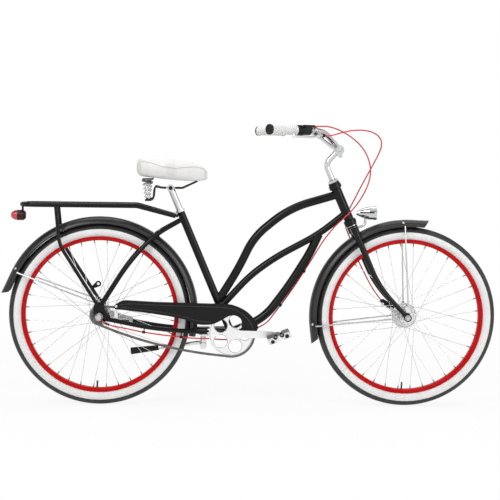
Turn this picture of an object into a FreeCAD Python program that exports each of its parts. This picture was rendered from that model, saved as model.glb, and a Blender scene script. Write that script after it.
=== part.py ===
"""Beach cruiser bicycle with step-through frame, built as an assembly of separate pieces.

Frame of reference: X forward, Y to the rider's left, Z up, millimetres, the origin on the ground under the
middle of the bounding box. The rear axle is the reference for every place along the bicycle.
"""
import FreeCAD
import Part
import Sketcher
import math
import os
from types import SimpleNamespace

os.makedirs("parts", exist_ok=True)
doc = FreeCAD.newDocument("cruiser")
sheet = doc.addObject("Spreadsheet::Sheet", "sizes")
Vector = FreeCAD.Vector

# Driving dimensions in millimetres
lengths = [
    ("wheelbase", 1130), ("tyre_radius", 333), ("tyre_width", 52), ("tyre_wall", 3), ("bead_radius", 287),
    ("bead_half_width", 14.2), ("shoulder_radius", 322), ("shoulder_half_width", 19),
    ("belly_radius", 305), ("rim_bed_radius", 272), ("rim_bed_half_width", 9), ("rim_side_radius", 277),
    ("rim_half_width", 17), ("rim_flange_radius", 286.5), ("rim_wall", 2.6), ("tube_centre_radius", 304.5),
    ("tube_section_radius", 19.5), ("tube_wall", 1.2), ("valve_radius", 3.2), ("valve_tip_radius", 247),
    ("valve_hole_clearance", 0.6), ("spoke_radius", 1), ("nipple_radius", 2.1), ("nipple_length", 14),
    ("spoke_head_radius", 2.2), ("spoke_head_length", 3), ("spoke_flange_gap", 0.3), ("rim_spoke_offset",
            3.5),
    ("bottom_bracket_x", 481), ("bottom_bracket_height", 270), ("bracket_shell_radius", 22),
    ("bracket_shell_bore", 19), ("bracket_shell_width", 68), ("cup_lip_radius", 21), ("cup_lip_length", 4),
    ("cup_depth", 14), ("seat_tube_length", 490), ("seat_tube_radius", 14.3), ("seat_post_radius", 12.7),
    ("post_clearance", 0.05), ("frame_wall", 2), ("upper_tube_radius", 15.5), ("lower_tube_radius", 12.7),
    ("down_tube_radius", 16), ("head_tube_length", 156), ("head_tube_radius", 18), ("head_flare_radius",
            23.5),
    ("head_flare_length", 17), ("head_tube_bore", 15), ("head_lower_height", 676), ("fork_rake", 53),
    ("upper_tube_drop", 38), ("lower_tube_rise", 44), ("upper_tube_seat_height", 384),
    ("lower_tube_seat_rise", 92), ("stay_radius", 8), ("seat_stay_radius", 8.5), ("stay_wall", 1.5),
    ("chain_stay_bracket_y", 31.2), ("dropout_inner_y", 60), ("dropout_thickness", 6),
    ("dropout_slot_clearance", 0.15), ("axle_radius", 5), ("axle_nut_radius", 8.6), ("axle_nut_length", 9),
    ("washer_radius", 10.5), ("washer_length", 2), ("axle_overhang", 4), ("seat_stay_drop", 32.4),
    ("fender_gap", 27), ("fender_half_width", 31), ("fender_depth", 26), ("fender_crown_rise", 22),
    ("fender_end_slant", 19), ("route_unit", 1),
    ("fender_wall", 1.2), ("rear_tail_length", 84), ("front_bill_length", 66), ("front_tail_length", 60),
    ("fender_stay_radius", 3), ("cut_overrun", 5),
    ("stand_plate_rise", 3), ("cable_end_gap", 0.3), ("cable_lead", 25),
    ("nipple_gap", 0.5), ("lens_rear_radius", 21.9),
    ("dropout_reach", 20), ("chain_stay_rear_x", 26), ("chain_stay_rear_height", 322),
    ("seat_stay_rear_x", 9), ("seat_stay_rear_height", 377), ("stay_bridge_radius", 6),
    ("seat_bridge_x", 214), ("seat_bridge_height", 641), ("chain_bridge_x", 372),
    ("chain_bridge_height", 269), ("eyelet_back", 9), ("eyelet_rise", 46), ("eyelet_radius", 2.65),
    ("collar_length", 18), ("collar_wall", 3.2), ("collar_lug_width", 6),
    ("collar_lug_length", 9), ("collar_overlap", 9), ("bolt_head_radius", 4.5),
    ("bolt_head_length", 4.5), ("collar_gap", 0.1), ("headset_cup_height", 9), ("headset_cup_radius", 21),
    ("steerer_radius", 12.7), ("cup_press_depth", 10), ("cup_bore_clearance", 0.08),
    ("crown_race_height", 3), ("race_gap", 0.3), ("spindle_radius", 8.5), ("spindle_fit", 0.06),
    ("hub_barrel_radius", 15), ("front_flange_radius", 26), ("front_flange_y", 30),
    ("drum_radius", 48), ("drum_depth", 30), ("flange_thickness", 3), ("hub_bore", 6.5), ("drum_wall", 2.8),
    ("drum_bore", 37.5), ("rear_barrel_radius", 30), ("rear_flange_radius", 39), ("rear_flange_y", 27),
    ("rear_cap_radius", 22), ("rear_cap_length", 9), ("flange_hole_inset", 4.5),
    ("crown_thickness", 22), ("crown_centre_radius", 20),
    ("crown_end_radius", 14.5), ("blade_y", 53), ("blade_radius", 12), ("blade_tip_radius", 8),
    ("blade_straight_distance", 150), ("fork_end_radius", 14), ("fork_end_thickness", 6),
    ("fork_eyelet_rise", 44), ("fork_eyelet_width", 7), ("axle_hole_clearance", 0.1), ("quill_radius", 11),
    ("quill_fit", 0.1), ("lock_nut_height", 9), ("lock_nut_radius", 19), ("steerer_overhang", 2),
    ("sleeve_wall", 1.45), ("race_radius", 19), ("brake_plate_gap", 0.4), ("brake_plate_thickness", 8),
    ("brake_plate_proud", 6), ("cam_back", 24), ("cam_rise", 18), ("cam_pin_radius", 4), ("cam_fit", 0.06),
    ("arm_thickness", 3), ("arm_eye_radius", 8), ("arm_length", 40), ("arm_tip_radius", 5),
    ("cam_pin_length", 9), ("arm_seat_gap", 0.3), ("torque_arm_reach", 80), ("torque_arm_rise", 52),
    ("torque_arm_radius", 8), ("torque_arm_thickness", 3), ("stop_radius", 5.5), ("stop_length", 14),
    ("stem_rise", 75.5), ("clamp_x", 869), ("clamp_rise", 53),
    ("clamp_radius", 19), ("clamp_half_width", 21), ("bar_radius", 11.1), ("bar_centre_radius", 12.7),
    ("bar_centre_half", 34), ("bar_wall", 2), ("stem_bend", 34), ("bar_clamp_half", 45),
    ("bar_bend_back", 74), ("bar_bend_y", 165), ("bar_rise", 67), ("bar_end_back", 275), ("bar_end_y", 336),
    ("bar_end_rise", 68), ("bar_bend_radius", 150), ("quill_depth", 55), ("clamp_bolt_radius", 4),
    ("clamp_bolt_drop", 22), ("clamp_bolt_forward", 6), ("grip_length", 121), ("grip_radius", 17.5),
    ("grip_waist_radius", 16.2), ("grip_lip_radius", 18.5), ("grip_lip_length", 7), ("grip_fit", 0.1),
    ("cap_radius", 18.5), ("cap_length", 5),
    ("clamp_lug_width", 15), ("twist_gap", 0.5), ("twist_length", 36), ("twist_radius", 17.5),
    ("twist_waist_radius", 16), ("shifter_length", 32), ("shifter_radius", 17), ("hump_radius", 12),
    ("hump_offset", 9), ("nose_radius", 4.5), ("nose_length", 16), ("nose_offset", 19),
    ("bracket_start", 206), ("bracket_length", 15), ("bracket_ring_radius", 15.5), ("pivot_offset", 31),
    ("pivot_radius", 3), ("pivot_fit", 0.06), ("bracket_plate", 4), ("lever_thickness", 7),
    ("lever_gap", 0.3), ("lever_eye_radius", 6.8), ("lever_bar_radius", 5), ("lever_tip_radius", 6.5),
    ("lever_length", 128), ("lever_bow", 11), ("lever_neck", 34), ("adjuster_radius", 5),
    ("adjuster_length", 22), ("light_rear_x", 939), ("light_height", 716),
    ("light_length", 74), ("light_radius", 25.5), ("light_ring_radius", 26.5), ("light_ring_length", 9),
    ("light_shell_wall", 2.5), ("light_cavity_depth", 30), ("lens_thickness", 5), ("lens_gap", 0.1),
    ("light_bracket_radius", 4.5), ("light_bracket_forward", 34),
    ("light_bracket_drop", 8), ("light_nose_radius", 7), ("light_mid_radius", 18), ("light_mid_along", 22),
    ("light_wide_along", 46), ("stay_seat_gap", 0.2), ("rear_stay_x", -301.4), ("rear_stay_height", 485.8),
    ("front_stay_back", 14), ("front_stay_rise", 338), ("rear_tail_stay_back", 338),
    ("rear_tail_stay_drop", 36), ("stay_eye_radius", 6), ("stay_nut_gap", 15), ("rack_height", 735),
    ("rack_half_width", 60), ("rack_radius", 8.5), ("rack_wall", 1.5), ("rack_rear_x", -284),
    ("rack_bend_x", 132), ("rack_front_gap", 25.6), ("rack_front_y", 23.5), ("rack_front_drop", 22.4),
    ("rack_corner", 45), ("strut_radius", 6.5), ("strut_top_x", -160), ("strut_bend_x", -146),
    ("strut_bend_height", 592), ("strut_bend_y", 66), ("strut_end_gap", 0.3), ("rack_bolt_radius", 3),
    ("rack_lug_height", 9), ("eye_hole_radius", 5), ("eye_outer_radius", 11), ("eye_plate_thickness", 4),
    ("eye_forward", 29), ("strut_bolt_reach", 20), ("tail_light_drop", 41), ("tail_light_front_x", -272),
    ("tail_body_length", 31), ("tail_lens_length", 22), ("tail_light_radius", 19),
    ("tail_front_radius", 12), ("tail_hanger_radius", 4), ("tail_dome_radius", 9), ("hanger_gap", 0.2),
    ("tail_round", 9), ("chain_pitch", 12.7), ("roller_radius", 3.9), ("seat_clearance", 0.1),
    ("tooth_height", 3.2), ("tooth_thickness", 2.6), ("roller_half", 1.6), ("plate_thickness", 1),
    ("link_radius", 4.1), ("chain_line", 47), ("crank_length", 170), ("ring_hole_radius", 24),
    ("ring_hole_circle", 48), ("spider_radius", 22), ("arm_inner_y", 58), ("arm_plate", 13),
    ("arm_boss_radius", 15), ("arm_pedal_radius", 11), ("pedal_axle_radius", 6),
    ("pedal_axle_length", 99), ("pedal_fit", 0.06), ("pedal_gap", 3), ("pedal_width", 92),
    ("pedal_sleeve_radius", 9.5), ("block_length", 27), ("block_height", 22), ("block_offset", 28),
    ("cage_plate", 2), ("cage_length", 84), ("cage_height", 12), ("sprocket_boss_radius", 18),
    ("hub_gap", 0.4), ("arm_bolt_radius", 9), ("arm_bolt_length", 3),
    ("guard_reach", 431), ("guard_radius", 109), ("guard_y", 54.4), ("guard_sheet", 1.2),
    ("guard_lip_depth", 12), ("guard_lip_rise", 105), ("guard_tab_width", 12), ("guard_tab_sheet", 2),
    ("guard_screw_x", 60), ("guard_screw_height", 368), ("guard_post_radius", 2.5),
    ("guard_post_height", 368), ("screw_head_radius", 4.5), ("screw_head_length", 2.5),
    ("guard_tab_drop", 60), ("gear_box_length", 22), ("gear_box_radius", 15),
    ("gear_box_nose", 9), ("coaster_gap", 0.4), ("coaster_plate", 4), ("coaster_eye_radius", 18),
    ("coaster_reach", 112), ("coaster_drop", 20), ("coaster_tip_radius", 7), ("clip_wall", 1.6),
    ("clip_length", 12), ("clip_bolt_radius", 3), ("stand_x", 380), ("stand_y", 22), ("stand_height", 224),
    ("stand_barrel_radius", 13), ("stand_barrel_length", 20), ("stand_gap", 0.3), ("stand_head_length", 17),
    ("stand_leg_radius", 7.5), ("stand_leg_back", 258), ("stand_leg_out", 30), ("stand_leg_drop", 38),
    ("stand_foot_back", 165), ("stand_foot_radius", 9.5), ("stand_pin_radius", 5), ("stand_pin_fit", 0.06),
    ("stand_plate_length", 34), ("stand_plate_thickness", 5), ("stand_plate_half", 34),
    ("stand_post_radius", 11), ("stand_foot_flare", 13),
    ("post_bottom_height", 560), ("post_top_height", 800), ("saddle_rear_x", 131), ("saddle_length", 257),
    ("saddle_half_width", 116), ("saddle_low_height", 826), ("saddle_depth", 84), ("rail_radius", 3.5),
    ("rail_y", 21), ("rail_height", 800), ("saddle_clamp_radius", 13), ("saddle_clamp_half", 30),
    ("spring_x", 170), ("spring_y", 76), ("spring_top_height", 832.7), ("spring_bottom_height", 763),
    ("spring_top_radius", 20), ("spring_bottom_radius", 8), ("spring_wire", 2.4), ("rail_nose_x", 352),
    ("rail_nose_height", 826), ("spring_seat_gap", 0.3), ("rail_nose_y", 9), ("rail_bend", 14),
    ("rail_rear_rise", 6), ("rail_corner_gap", 8),
    ("cable_radius", 2.5),
    ("clip_ring_wall", 2), ("clip_ring_length", 9), ("box_entry_forward", 9.4), ("box_entry_drop", 12.8),
    ("box_entry_y", 92), ("fork_inner_y", 50), ("rear_inner_y", 60),
]
angles = [
    ("head_angle", 66), ("seat_angle", 66.8), ("rear_fender_start_angle", -13), ("rear_fender_end_angle",
            155),
    ("front_fender_start_angle", 88), ("front_fender_end_angle", 187), ("spoke_lace_angle", 62),
    ("valve_angle", 268),
]
counts = [("spoke_count", 36), ("chainring_teeth", 42), ("sprocket_teeth", 16)]

size = SimpleNamespace()
for row, (alias, amount) in enumerate(lengths + angles + counts, start=1):
    sheet.set("A%d" % row, alias)
    sheet.set("B%d" % row, str(amount))
    sheet.setAlias("B%d" % row, alias)
doc.recompute()
for alias, amount in lengths + angles + counts:
    setattr(size, alias, sheet.get(alias))


def total(words):
    """Value of a sum of named sizes such as 'rim_half_width - rim_wall'."""
    amount = 0.0
    sign = 1
    for word in words.split():
        if word == "+":
            sign = 1
        elif word == "-":
            sign = -1
        elif word != "0":
            amount += sign * getattr(size, word)
    return amount


def cells(words):
    """The same sum written as an expression on the sheet."""
    return " ".join(word if word in "+-0" else "sizes." + word for word in words.split())


def turn_to(direction):
    """Rotation that takes the Z axis to a direction."""
    return FreeCAD.Rotation(Vector(0, 0, 1), direction)


def place(piece, base, direction=Vector(0, 0, 1)):
    piece.Placement = FreeCAD.Placement(base, turn_to(direction))
    return piece


def cylinder(name, radius, length, base, direction=Vector(0, 0, 1)):
    """Part primitive whose radius and length are sums of named sizes."""
    piece = doc.addObject("Part::Cylinder", name)
    piece.setExpression("Radius", cells(radius))
    piece.setExpression("Height", cells(length))
    return place(piece, base, direction)


def block(name, long, wide, high, base, rotation=FreeCAD.Rotation()):
    """Box whose three sides are sums of named sizes, centred on its base point in plan."""
    piece = doc.addObject("Part::Box", name)
    piece.setExpression("Length", cells(long))
    piece.setExpression("Width", cells(wide))
    piece.setExpression("Height", cells(high))
    corner = Vector(-total(long) / 2, -total(wide) / 2, 0)
    piece.Placement = FreeCAD.Placement(base + rotation.multVec(corner), rotation)
    return piece


def body_sketch(name, plane_role):
    """Body with one empty sketch on one of its own origin planes."""
    body = doc.addObject("PartDesign::Body", name)
    sketch = body.newObject("Sketcher::SketchObject", name + "_sketch")
    plane = [item for item in body.Origin.OriginFeatures if item.Role == plane_role][0]
    sketch.AttachmentSupport = [(plane, "")]
    sketch.MapMode = "FlatFace"
    return body, sketch


def turned(name, profile, base, direction):
    """Body turned about its axis; the profile lists (along, radius) as sums of named sizes."""
    body, sketch = body_sketch(name, "XZ_Plane")
    corners = [Vector(total(radius), total(along), 0) for along, radius in profile]
    count = len(corners)
    for number in range(count):
        sketch.addGeometry(Part.LineSegment(corners[number], corners[(number + 1) % count]))
    for number in range(count):
        sketch.addConstraint(Sketcher.Constraint("Coincident", number, 2, (number + 1) % count, 1))
    for number, (along, radius) in enumerate(profile):
        for kind, words, amount, axis in (("DistanceX", radius, corners[number].x, -2),
                                          ("DistanceY", along, corners[number].y, -1)):
            if words == "0":
                sketch.addConstraint(Sketcher.Constraint("PointOnObject", number, 1, axis))
            else:
                index = sketch.addConstraint(Sketcher.Constraint(kind, -1, 1, number, 1, amount))
                sketch.setExpression("Constraints[%d]" % index, cells(words))
    feature = body.newObject("PartDesign::Revolution", name + "_turn")
    feature.Profile = sketch
    feature.ReferenceAxis = (sketch, ["V_Axis"])
    feature.Angle = 360
    body.Tip = feature
    return place(body, base, direction)


corner_share = 0.45


def outline_edges(points, closed, round_share=corner_share, radius=None):
    """Straight runs joined by tangent arcs; each arc is as large as its runs allow, or has a given radius."""
    count = len(points)
    corners = []
    for number in range(count):
        point = points[number]
        if not closed and number in (0, count - 1):
            corners.append((point, point, point))
            continue
        before = points[number - 1] - point
        after = points[(number + 1) % count] - point
        half_turn = (math.pi - before.getAngle(after)) / 2
        reach = round_share * min(before.Length, after.Length)
        if radius is not None:
            reach = min(reach, radius * math.tan(half_turn))
        before.normalize()
        after.normalize()
        bend = reach / math.tan(half_turn)
        middle = before + after
        middle.normalize()
        inside = middle * (math.hypot(bend, reach) - bend)
        corners.append((point + before * reach, point + inside, point + after * reach))
    edges = []
    for number in range(count):
        first, middle, last = corners[number]
        if first != last:
            edges.append(Part.Arc(first, middle, last))
        if number < count - 1 or closed:
            following = corners[(number + 1) % count][0]
            edges.append(Part.LineSegment(last, following))
    return edges


def path_wire(points, radius=None):
    return Part.Wire([edge.toShape() for edge in outline_edges(points, False, radius=radius)])


def pipe(points, radius, bend=None, end_radius=None):
    """Solid round bar along a path; it narrows to the end radius when one is given."""
    path = path_wire(points, bend)
    first = points[1] - points[0]
    profiles = [Part.Wire(Part.Circle(points[0], first, radius).toShape())]
    if end_radius is not None:
        last = points[-1] - points[-2]
        profiles.append(Part.Wire(Part.Circle(points[-1], last, end_radius).toShape()))
    return path.makePipeShell(profiles, True, False)


def feature(name, shape):
    """Piece whose shape comes from swept or lofted forms."""
    piece = doc.addObject("Part::Feature", name)
    piece.Shape = shape
    piece.Placement = FreeCAD.Placement()
    return piece


def plate(name, points, thickness, base, corner_radius=None, holes=()):
    """Flat plate in the side view, padded to both sides of its base point, with round holes."""
    body, sketch = body_sketch(name, "XZ_Plane")
    flat = [Vector(point.x, point.z, 0) for point in points]
    for edge in outline_edges(flat, True, radius=corner_radius):
        sketch.addGeometry(edge)
    for centre, hole_radius in holes:
        sketch.addGeometry(Part.Circle(Vector(centre.x, centre.z, 0), Vector(0, 0, 1), hole_radius))
    pad = body.newObject("PartDesign::Pad", name + "_pad")
    pad.Profile = sketch
    pad.Midplane = True
    pad.setExpression("Length", cells(thickness))
    body.Tip = pad
    return place(body, base)


def cut(name, base, tools):
    """Base less every tool."""
    piece = doc.addObject("Part::Cut", name)
    piece.Base = base
    if len(tools) == 1:
        piece.Tool = tools[0]
    else:
        joined = doc.addObject("Part::MultiFuse", name + "_tools")
        joined.Shapes = tools
        piece.Tool = joined
    return piece


def fuse(name, pieces):
    joined = doc.addObject("Part::MultiFuse", name)
    joined.Shapes = pieces
    return joined


nodes = {}


def node(label, pieces):
    """Name the finished piece, or the group of separate solids, that one file holds."""
    if len(pieces) == 1:
        group = pieces[0]
    else:
        group = doc.addObject("Part::Compound", label)
        group.Links = pieces
    group.Label = label
    nodes[label] = group


def mirrored(point):
    return Vector(point.x, -point.y, point.z)


def at(x, y, z):
    """Place measured from the point on the ground under the rear axle."""
    return Vector(rear_axle_x + x, y, z)


def between(start, end, along_share, drop_share):
    """Point in the side view at shares of the run and the fall from start to end."""
    return Vector(start.x + (end.x - start.x) * along_share, start.y,
                  start.z + (end.z - start.z) * drop_share)


# Main places: axles, steering axis, bracket axis
def circle_point(centre, radius, angle):
    turn = math.radians(angle)
    return Vector(centre.x + radius * math.cos(turn), centre.y, centre.z + radius * math.sin(turn))


def tangent(angle):
    turn = math.radians(angle)
    return Vector(-math.sin(turn), 0, math.cos(turn))


fender_radius = size.tyre_radius + size.fender_gap
fender_edge_radius = fender_radius - size.fender_depth
fender_side_radius = fender_radius - size.fender_crown_rise
tail_end = math.radians(size.rear_fender_end_angle)
rear_reach = -fender_radius * math.cos(tail_end) + size.rear_tail_length * math.sin(tail_end)
rear_axle_x = (rear_reach - size.wheelbase - size.tyre_radius) / 2
across = Vector(0, 1, 0)
rear_axle = at(0, 0, size.tyre_radius)
front_axle = at(size.wheelbase, 0, size.tyre_radius)
bracket = at(size.bottom_bracket_x, 0, size.bottom_bracket_height)
steer_turn = math.radians(size.head_angle)
steer = Vector(-math.cos(steer_turn), 0, math.sin(steer_turn))
steer_front = Vector(math.sin(steer_turn), 0, math.cos(steer_turn))
steer_foot = front_axle - steer_front * size.fork_rake
head_lower_distance = (size.head_lower_height - steer_foot.z) / steer.z


def on_steer(distance, forward=0.0, y=0.0):
    """Point at a distance up the steering axis from its foot beside the front axle."""
    return steer_foot + steer * distance + steer_front * forward + across * y


seat_turn = math.radians(size.seat_angle)
seat_up = Vector(-math.cos(seat_turn), 0, math.sin(seat_turn))


def on_seat(height):
    """Point of the seat tube axis at a height over the ground."""
    return bracket + seat_up * ((height - bracket.z) / seat_up.z)


seat_top = bracket + seat_up * size.seat_tube_length
head_bottom = on_steer(head_lower_distance)
head_top = on_steer(head_lower_distance + size.head_tube_length)

# Welded frame
upper_tube_shares = [(0.41, 0.134), (0.705, 0.402), (0.83, 0.695)]
lower_tube_shares = [(0.217, 0.228), (0.56, 0.47), (0.765, 0.665)]
down_tube_shares = [(0.1, 0.19), (0.33, 0.52), (0.62, 0.86)]
down_tube_start_share = 0.2
seat_stay_shares = [(0.31, 0.465), (0.625, 0.8)]
seat_stay_spread_shares = [1.0, 0.92, 0.74, 0.2]
chain_stay_shares = [(0.36, 0.66), (0.68, 0.9)]
dropout_shares = [(-1.0, -0.55), (0.2, -1.1), (1.9, -0.75), (2.0, 0.1), (1.05, 0.9), (0.75, 2.35),
                  (-0.75, 2.65), (-1.1, 1.6)]


def frame_tube(name, points, radius, wall, trims):
    """Hollow tube along its path, ended against the tubes that it is welded to."""
    solid = feature(name + "_bar", pipe(points, radius))
    core = feature(name + "_core", pipe(points, radius - wall))
    hollow = cut(name + "_hollow", solid, [core])
    return cut(name, hollow, trims), solid


def envelope(name, radius, start, end):
    """Solid bar of a straight tube, for trimming what is welded to it."""
    piece = doc.addObject("Part::Cylinder", name)
    piece.setExpression("Radius", cells(radius))
    piece.Height = (end - start).Length
    return place(piece, start, end - start)


def flat_path(start, end, shares):
    return [start] + [between(start, end, along, drop) for along, drop in shares] + [end]


bracket_bar = envelope("bracket_bar", "bracket_shell_radius", bracket - across * size.bracket_shell_width / 2,
                       bracket + across * size.bracket_shell_width / 2)
seat_bar = envelope("seat_bar", "seat_tube_radius", bracket, seat_top)
head_profile = [
    ("0", "head_tube_bore"), ("0", "head_flare_radius"), ("head_flare_length - rim_wall",
                                                          "head_flare_radius"),
    ("head_flare_length", "head_tube_radius"), ("head_tube_length - head_flare_length", "head_tube_radius"),
    ("head_tube_length - head_flare_length + rim_wall", "head_flare_radius"),
    ("head_tube_length", "head_flare_radius"), ("head_tube_length", "head_tube_bore"),
]
head_tube = turned("head_tube_body", head_profile, head_bottom, steer)
head_bar = turned("head_bar", [(along, "0" if "bore" in radius else radius) for along,
                               radius in head_profile],
                  head_bottom, steer)

upper_start = on_steer(head_lower_distance + size.head_tube_length - size.upper_tube_drop)
upper_points = flat_path(upper_start, on_seat(size.upper_tube_seat_height), upper_tube_shares)
upper_tube, upper_bar = frame_tube("upper_tube_body", upper_points, size.upper_tube_radius, size.frame_wall,
                                   [head_bar, seat_bar])
lower_start = on_steer(head_lower_distance + size.lower_tube_rise)
lower_points = flat_path(lower_start, on_seat(bracket.z + size.lower_tube_seat_rise), lower_tube_shares)
lower_tube, lower_bar = frame_tube("lower_tube_body", lower_points, size.lower_tube_radius, size.frame_wall,
                                   [head_bar, seat_bar, upper_bar])
down_points = flat_path(lower_points[1], bracket, down_tube_shares)
down_tube, down_bar = frame_tube("down_tube_body", down_points, size.down_tube_radius, size.frame_wall,
                                 [lower_bar, bracket_bar])
seat_core = cylinder("seat_core", "seat_post_radius + post_clearance", "seat_tube_length + cut_overrun",
                     bracket, seat_up)
seat_tube = cut("seat_tube_body", seat_bar, [seat_core, bracket_bar])
shell_core = cylinder("shell_core", "bracket_shell_bore", "bracket_shell_width + cut_overrun + cut_overrun",
                      bracket - across * (size.bracket_shell_width / 2 + size.cut_overrun), across)
shell = cut("bracket_shell_body", bracket_bar, [shell_core])

stay_y = size.dropout_inner_y + size.dropout_thickness / 2
stay_end_room = cylinder("stay_end_room", "bracket_shell_radius", "dropout_inner_y + dropout_inner_y",
                         bracket - across * size.dropout_inner_y, across)
eyelet = rear_axle + Vector(-size.eyelet_back, 0, size.eyelet_rise)
dropout_points = [rear_axle + Vector(along, 0, rise) * size.dropout_reach for along, rise in dropout_shares]
dropouts = []
chain_stays = []
seat_stays = []
for side, hand in (("right", -1), ("left", 1)):
    lift = across * (hand * stay_y)
    shifted = plate("dropout_" + side, dropout_points, "dropout_thickness", lift,
                    corner_radius=size.dropout_reach,
                    holes=((rear_axle, size.axle_radius + size.dropout_slot_clearance),
                           (eyelet, size.eyelet_radius)))
    dropouts.append(shifted)
    start = at(size.chain_stay_rear_x, hand * stay_y, size.chain_stay_rear_height)
    end = bracket + across * (hand * size.chain_stay_bracket_y)
    points = [start] + [Vector(start.x + (end.x - start.x) * along, start.y + (end.y - start.y) * along,
                               start.z + (end.z - start.z) * drop) for along,
                               drop in chain_stay_shares] + [end]
    stay, bar = frame_tube("chain_stay_" + side, points, size.stay_radius, size.stay_wall,
                           [stay_end_room, shifted])
    chain_stays.append((stay, bar))
    start = at(size.seat_stay_rear_x, 0, size.seat_stay_rear_height)
    points = flat_path(start, on_seat(seat_top.z - size.seat_stay_drop), seat_stay_shares)
    points = [point + lift * share for point, share in zip(points, seat_stay_spread_shares)]
    stay, bar = frame_tube("seat_stay_" + side, points, size.seat_stay_radius, size.stay_wall,
                           [seat_bar, shifted])
    seat_stays.append((stay, bar))
seat_bridge = cylinder("seat_bridge_bar", "stay_bridge_radius", "dropout_inner_y + dropout_inner_y",
                       at(size.seat_bridge_x, -size.dropout_inner_y, size.seat_bridge_height), across)
chain_bridge = cylinder("chain_bridge_bar", "stay_bridge_radius", "dropout_inner_y + dropout_inner_y",
                        at(size.chain_bridge_x, -size.dropout_inner_y, size.chain_bridge_height), across)


def middle_part(name, bar, stays):
    """The length of a bridge bar that lies between its two stays."""
    trimmed = cut(name + "_trimmed", bar, [solid for stay, solid in stays])
    gap = doc.addObject("Part::Box", name + "_gap")
    gap.setExpression("Length", cells("stay_bridge_radius + stay_bridge_radius"))
    gap.setExpression("Width", cells("dropout_inner_y"))
    gap.setExpression("Height", cells("stay_bridge_radius + stay_bridge_radius"))
    centre = bar.Placement.Base + across * size.dropout_inner_y
    gap.Placement.Base = centre - Vector(size.stay_bridge_radius, size.dropout_inner_y / 2,
                                         size.stay_bridge_radius)
    piece = doc.addObject("Part::Common", name)
    piece.Base = trimmed
    piece.Tool = gap
    return piece


node("head_tube", [head_tube])
node("upper_tube", [upper_tube])
node("lower_tube", [lower_tube])
node("down_tube", [down_tube])
node("seat_tube", [seat_tube])
node("bottom_bracket_shell", [shell])
node("rear_dropouts", dropouts)
node("chain_stays", [stay for stay, bar in chain_stays] + [middle_part("chain_bridge", chain_bridge,
        chain_stays)])
node("seat_stays", [stay for stay, bar in seat_stays] + [middle_part("seat_bridge", seat_bridge, seat_stays)])

# Bearing cups of the headset and the bottom bracket
headset_profile = [
    ("0", "steerer_radius + cup_bore_clearance"), ("0", "head_tube_bore"), ("cup_press_depth",
            "head_tube_bore"),
    ("cup_press_depth", "headset_cup_radius"), ("cup_press_depth + headset_cup_height", "headset_cup_radius"),
    ("cup_press_depth + headset_cup_height", "steerer_radius + cup_bore_clearance"),
]
upper_cup = turned("upper_headset_cup", headset_profile, head_top - steer * size.cup_press_depth, steer)
lower_cup = turned("lower_headset_cup", headset_profile, head_bottom + steer * size.cup_press_depth,
                   steer * -1)
bracket_cup_profile = [
    ("0", "spindle_radius + spindle_fit"), ("0", "bracket_shell_bore"), ("cup_depth", "bracket_shell_bore"),
    ("cup_depth", "cup_lip_radius"), ("cup_depth + cup_lip_length", "cup_lip_radius"),
    ("cup_depth + cup_lip_length", "spindle_radius + spindle_fit"),
]
bracket_cups = []
for side, hand in (("right", -1), ("left", 1)):
    base = bracket + across * (hand * (size.bracket_shell_width / 2 - size.cup_depth))
    bracket_cups.append(turned("bracket_cup_" + side, bracket_cup_profile, base, across * hand))
node("bearing_cups", [upper_cup, lower_cup] + bracket_cups)

# Seat clamp collar with its bolt behind the seat tube
collar_base = seat_top - seat_up * size.collar_overlap
collar_profile = [("0", "seat_tube_radius + collar_gap"), ("0", "seat_tube_radius + collar_wall"),
                  ("collar_overlap", "seat_tube_radius + collar_wall"), ("collar_overlap",
                          "seat_tube_radius + collar_gap")]
collar = turned("seat_collar", collar_profile, collar_base, seat_up)
seat_back = Vector(-seat_up.z, 0, seat_up.x)
lug_turn = FreeCAD.Rotation(seat_back, across, seat_up, "ZXY")
lug_reach = size.seat_tube_radius + size.collar_lug_length / 2 + size.collar_wall / 2
lug_base = collar_base + seat_back * lug_reach
lug = block("collar_lug", "collar_lug_length", "collar_lug_width + collar_lug_width", "collar_overlap",
            lug_base, lug_turn)
bolt_centre = lug_base + seat_up * size.collar_overlap / 2
collar_bolt = cylinder("collar_bolt", "bolt_head_radius",
                       "collar_lug_width + collar_lug_width + bolt_head_length + bolt_head_length",
                       bolt_centre - across * (size.collar_lug_width + size.bolt_head_length), across)
collar_hole = cylinder("collar_bore", "seat_tube_radius + collar_gap", "collar_length", collar_base, seat_up)
seat_clamp = cut("seat_clamp_body", fuse("seat_clamp_joined", [collar, lug, collar_bolt]), [collar_hole])

# Fenders: a bent sheet round each wheel with straight ends
def fender_section(centre, angle, rise=0.0):
    """Closed sheet section in the radial plane at an angle round the wheel."""
    outward = circle_point(Vector(0, 0, 0), 1, angle)
    half = size.fender_half_width

    def point(radius, y):
        return centre + outward * (radius + rise) + across * y

    inner = half - size.fender_wall
    crown = fender_radius
    crown_inner = crown - size.fender_wall
    return Part.Wire([
        Part.LineSegment(point(fender_edge_radius, -half), point(fender_side_radius,
                -half)).toShape(),
        Part.Arc(point(fender_side_radius, -half), point(crown, 0), point(fender_side_radius,
                half)).toShape(),
        Part.LineSegment(point(fender_side_radius, half), point(fender_edge_radius,
                half)).toShape(),
        Part.LineSegment(point(fender_edge_radius, half), point(fender_edge_radius,
                inner)).toShape(),
        Part.LineSegment(point(fender_edge_radius, inner), point(fender_side_radius,
                inner)).toShape(),
        Part.Arc(point(fender_side_radius, inner), point(crown_inner, 0),
                 point(fender_side_radius, -inner)).toShape(),
        Part.LineSegment(point(fender_side_radius, -inner), point(fender_edge_radius,
                -inner)).toShape(),
        Part.LineSegment(point(fender_edge_radius, -inner), point(fender_edge_radius,
                -half)).toShape(),
    ])


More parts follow.
